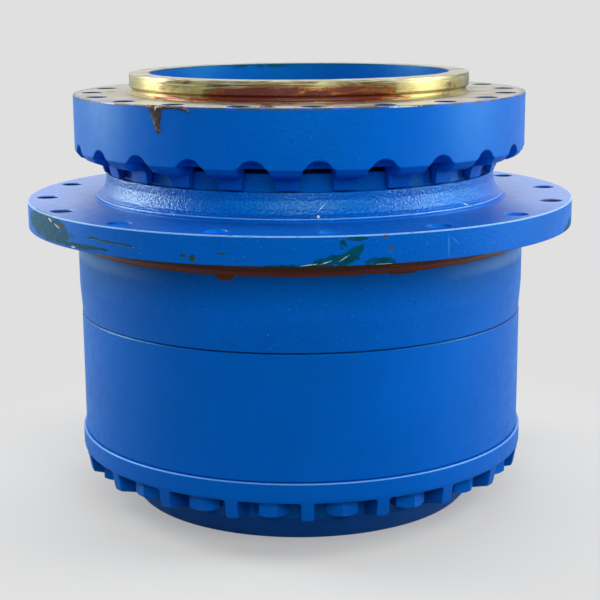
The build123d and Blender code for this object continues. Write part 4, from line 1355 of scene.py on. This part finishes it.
def makeGrease():
    s = greaseShape
    perDegree = math.radians(1) * s["wall"]
    low, high = (angle * perDegree for angle in s["angles"])
    bottom, top = s["heights"]
    wide = round((high - low) / s["cell"])
    tall = round((top - bottom) / s["cell"])
    level = math.exp(-s["melt"])
    work = bmesh.new()
    front, back, grown = [], [], []
    for i in range(wide + 1):
        across = low + (high - low) * i / wide
        frontRun, backRun, run = [], [], []
        for j in range(tall + 1):
            height = bottom + (top - bottom) * j / tall
            near = greaseDepth(across, height, perDegree)
            full = min(max(near - level, 0) / s["fullFrom"], 1)
            thick = max(s["thick"] * math.sqrt(full) - s["sink"], s["deepest"])
            wall = s["wall"] - s["topInset"] * smooth((height - s["topFrom"]) / s["topSoft"])
            angle = frontAngle + across / perDegree
            frontRun.append(work.verts.new(polar(wall + thick, angle, height)))
            backRun.append(work.verts.new(polar(wall - s["under"], angle, height)))
            run.append(near > level * s["skirt"])
        front.append(frontRun)
        back.append(backRun)
        grown.append(run)
    places = [(i, j) for i in range(wide) for j in range(tall)]
    cells = {(i, j) for i, j in places if any(grown[i + a][j + b] for a in (0, 1) for b in (0, 1))}
    for i, j in cells:
        square = ((i, j), (i + 1, j), (i + 1, j + 1), (i, j + 1))
        work.faces.new([front[a][b] for a, b in square])
        work.faces.new([back[a][b] for a, b in reversed(square)])
        beside = ((i, j - 1), (i + 1, j), (i, j + 1), (i - 1, j))
        for (a, b), (c, d), neighbour in zip(square, square[1:] + square[:1], beside):
            if neighbour not in cells:
                work.faces.new((front[a][b], back[a][b], back[c][d], front[c][d]))
    loose = [vert for vert in work.verts if not vert.link_faces]
    bmesh.ops.delete(work, geom=loose, context="VERTS")
    bmesh.ops.recalc_face_normals(work, faces=work.faces)
    mesh = keepMesh(work, bpy.data.meshes.new("greaseDrip"))
    mesh.shade_smooth()
    drip = newObject("greaseDrip", mesh)
    mesh.materials.append(grease)
    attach(drip, "spindle_side")
    print("greaseDrip:", len(mesh.polygons), "faces")


makeGrease()


# Studio: pale floor, soft lamps and the camera of the photograph
studio = {
    "grey": srgb(224, 224, 224),
    "floorAlbedo": (0.49, 0.49, 0.48, 1.0),
    "mirroredGrey": (0.42, 0.60, 0.74, 1.0),
    "mirroredAlbedo": (0.18, 0.28, 0.36, 1.0),
    "bounce": (0.14, 0.14, 0.14, 1.0),
    "nearShade": 0.40,
    "shadeFrom": 0.24,
    "shadeTo": 0.56,
    "worldDiffuse": 0.22,
    "floorHalf": 12.0,
    # Degrees from the front, metres from the axis, metres high, width and height in metres, watts
    "lamps": {
        "leftBox": (-106.0, 1.7, 1.06, (0.8, 1.6), 40.0),
        "rightBox": (88.0, 1.7, 1.06, (0.9, 1.6), 40.0),
        "frontBox": (8.0, 2.0, 1.4, (1.9, 1.1), 36.0),
        "topBox": (0.0, 0.3, 2.1, (1.2, 0.9), 9.0),
        "backBox": (180.0, 1.9, 1.9, (3.0, 0.9), 34.0),
    },
    "aim": (0.0, 0.0, 0.24),
}


def emptyTree(owner):
    owner.use_nodes = True
    owner.node_tree.nodes.clear()
    return owner.node_tree


def seenRays(tree):
    # Rays that show a background: the eye's, reflections and glass; the second mask is reflections alone
    path = put(tree, "ShaderNodeLightPath").outputs
    mirrored = path["Is Glossy Ray"]
    return either(tree, path["Is Camera Ray"], mirrored, path["Is Transmission Ray"]), mirrored


def paperMaterial():
    # Flat grey for the eye, bluer in reflections; near the object the floor is shaded and takes its shadow
    s = studio
    material = bpy.data.materials.new("paper")
    tree = emptyTree(material)
    seen, mirrored = seenRays(tree)
    far = put(tree, "ShaderNodeVectorMath", {0: objectPlace(tree)}, operation="LENGTH").outputs["Value"]
    near = times(tree, s["nearShade"], minus(tree, 1.0, mirrored))
    even = lerp(tree, rise(tree, far, s["shadeFrom"], s["shadeTo"]), near, 1.0)
    albedo = mixed(tree, mirrored, s["floorAlbedo"], s["mirroredAlbedo"])
    glow = mixed(tree, mirrored, s["grey"], s["mirroredGrey"])
    shaders = {
        0: times(tree, seen, even),
        1: put(tree, "ShaderNodeBsdfDiffuse", {"Color": mixed(tree, seen, s["bounce"], albedo)}).outputs[0],
        2: put(tree, "ShaderNodeEmission", {"Color": glow}).outputs[0],
    }
    both = put(tree, "ShaderNodeMixShader", shaders).outputs[0]
    put(tree, "ShaderNodeOutputMaterial", {0: both})
    return material


def makeFloor():
    half = studio["floorHalf"]
    corners = [(-half, -half, 0), (half, -half, 0), (half, half, 0), (-half, half, 0)]
    mesh = bpy.data.meshes.new("floor")
    mesh.from_pydata(corners, [], [(0, 1, 2, 3)])
    mesh.materials.append(paperMaterial())
    newObject("floor", mesh)


def makeWorld():
    world = bpy.data.worlds.new("studio")
    bpy.context.scene.world = world
    tree = emptyTree(world)
    seen, _ = seenRays(tree)
    dim = (*[studio["worldDiffuse"]] * 3, 1.0)
    back = put(tree, "ShaderNodeBackground", {"Color": mixed(tree, seen, dim, studio["grey"])})
    put(tree, "ShaderNodeOutputWorld", {0: back.outputs[0]})


def makeLamps():
    for name, (azimuth, away, height, size, watts) in studio["lamps"].items():
        data = bpy.data.lights.new(name, "AREA")
        data.shape = "RECTANGLE"
        data.size, data.size_y = size
        data.energy = watts
        lamp = newObject(name, data)
        lamp.location = polar(away / mm, frontAngle + azimuth, height / mm)
        lamp.rotation_mode = "QUATERNION"
        lamp.rotation_quaternion = (lamp.location - Vector(studio["aim"])).to_track_quat("Z", "Y")


camera = {"place": (0.0, -1.5116, 0.5249), "down": 12.12, "roll": -0.412, "lens": 86.68, "shift": -0.001}


def makeCamera():
    data = bpy.data.cameras.new("camera")
    data.sensor_width = 36.0
    data.lens = camera["lens"]
    data.shift_x = camera["shift"]
    obj = newObject("camera", data)
    tilt = Matrix.Rotation(math.radians(90 - camera["down"]), 4, "X")
    roll = Matrix.Rotation(math.radians(camera["roll"]), 4, "Z")
    obj.matrix_world = Matrix.Translation(camera["place"]) @ tilt @ roll
    bpy.context.scene.camera = obj


makeFloor()
makeWorld()
makeLamps()
makeCamera()
bpy.context.scene.view_settings.view_transform = "Standard"
print("studio ready")
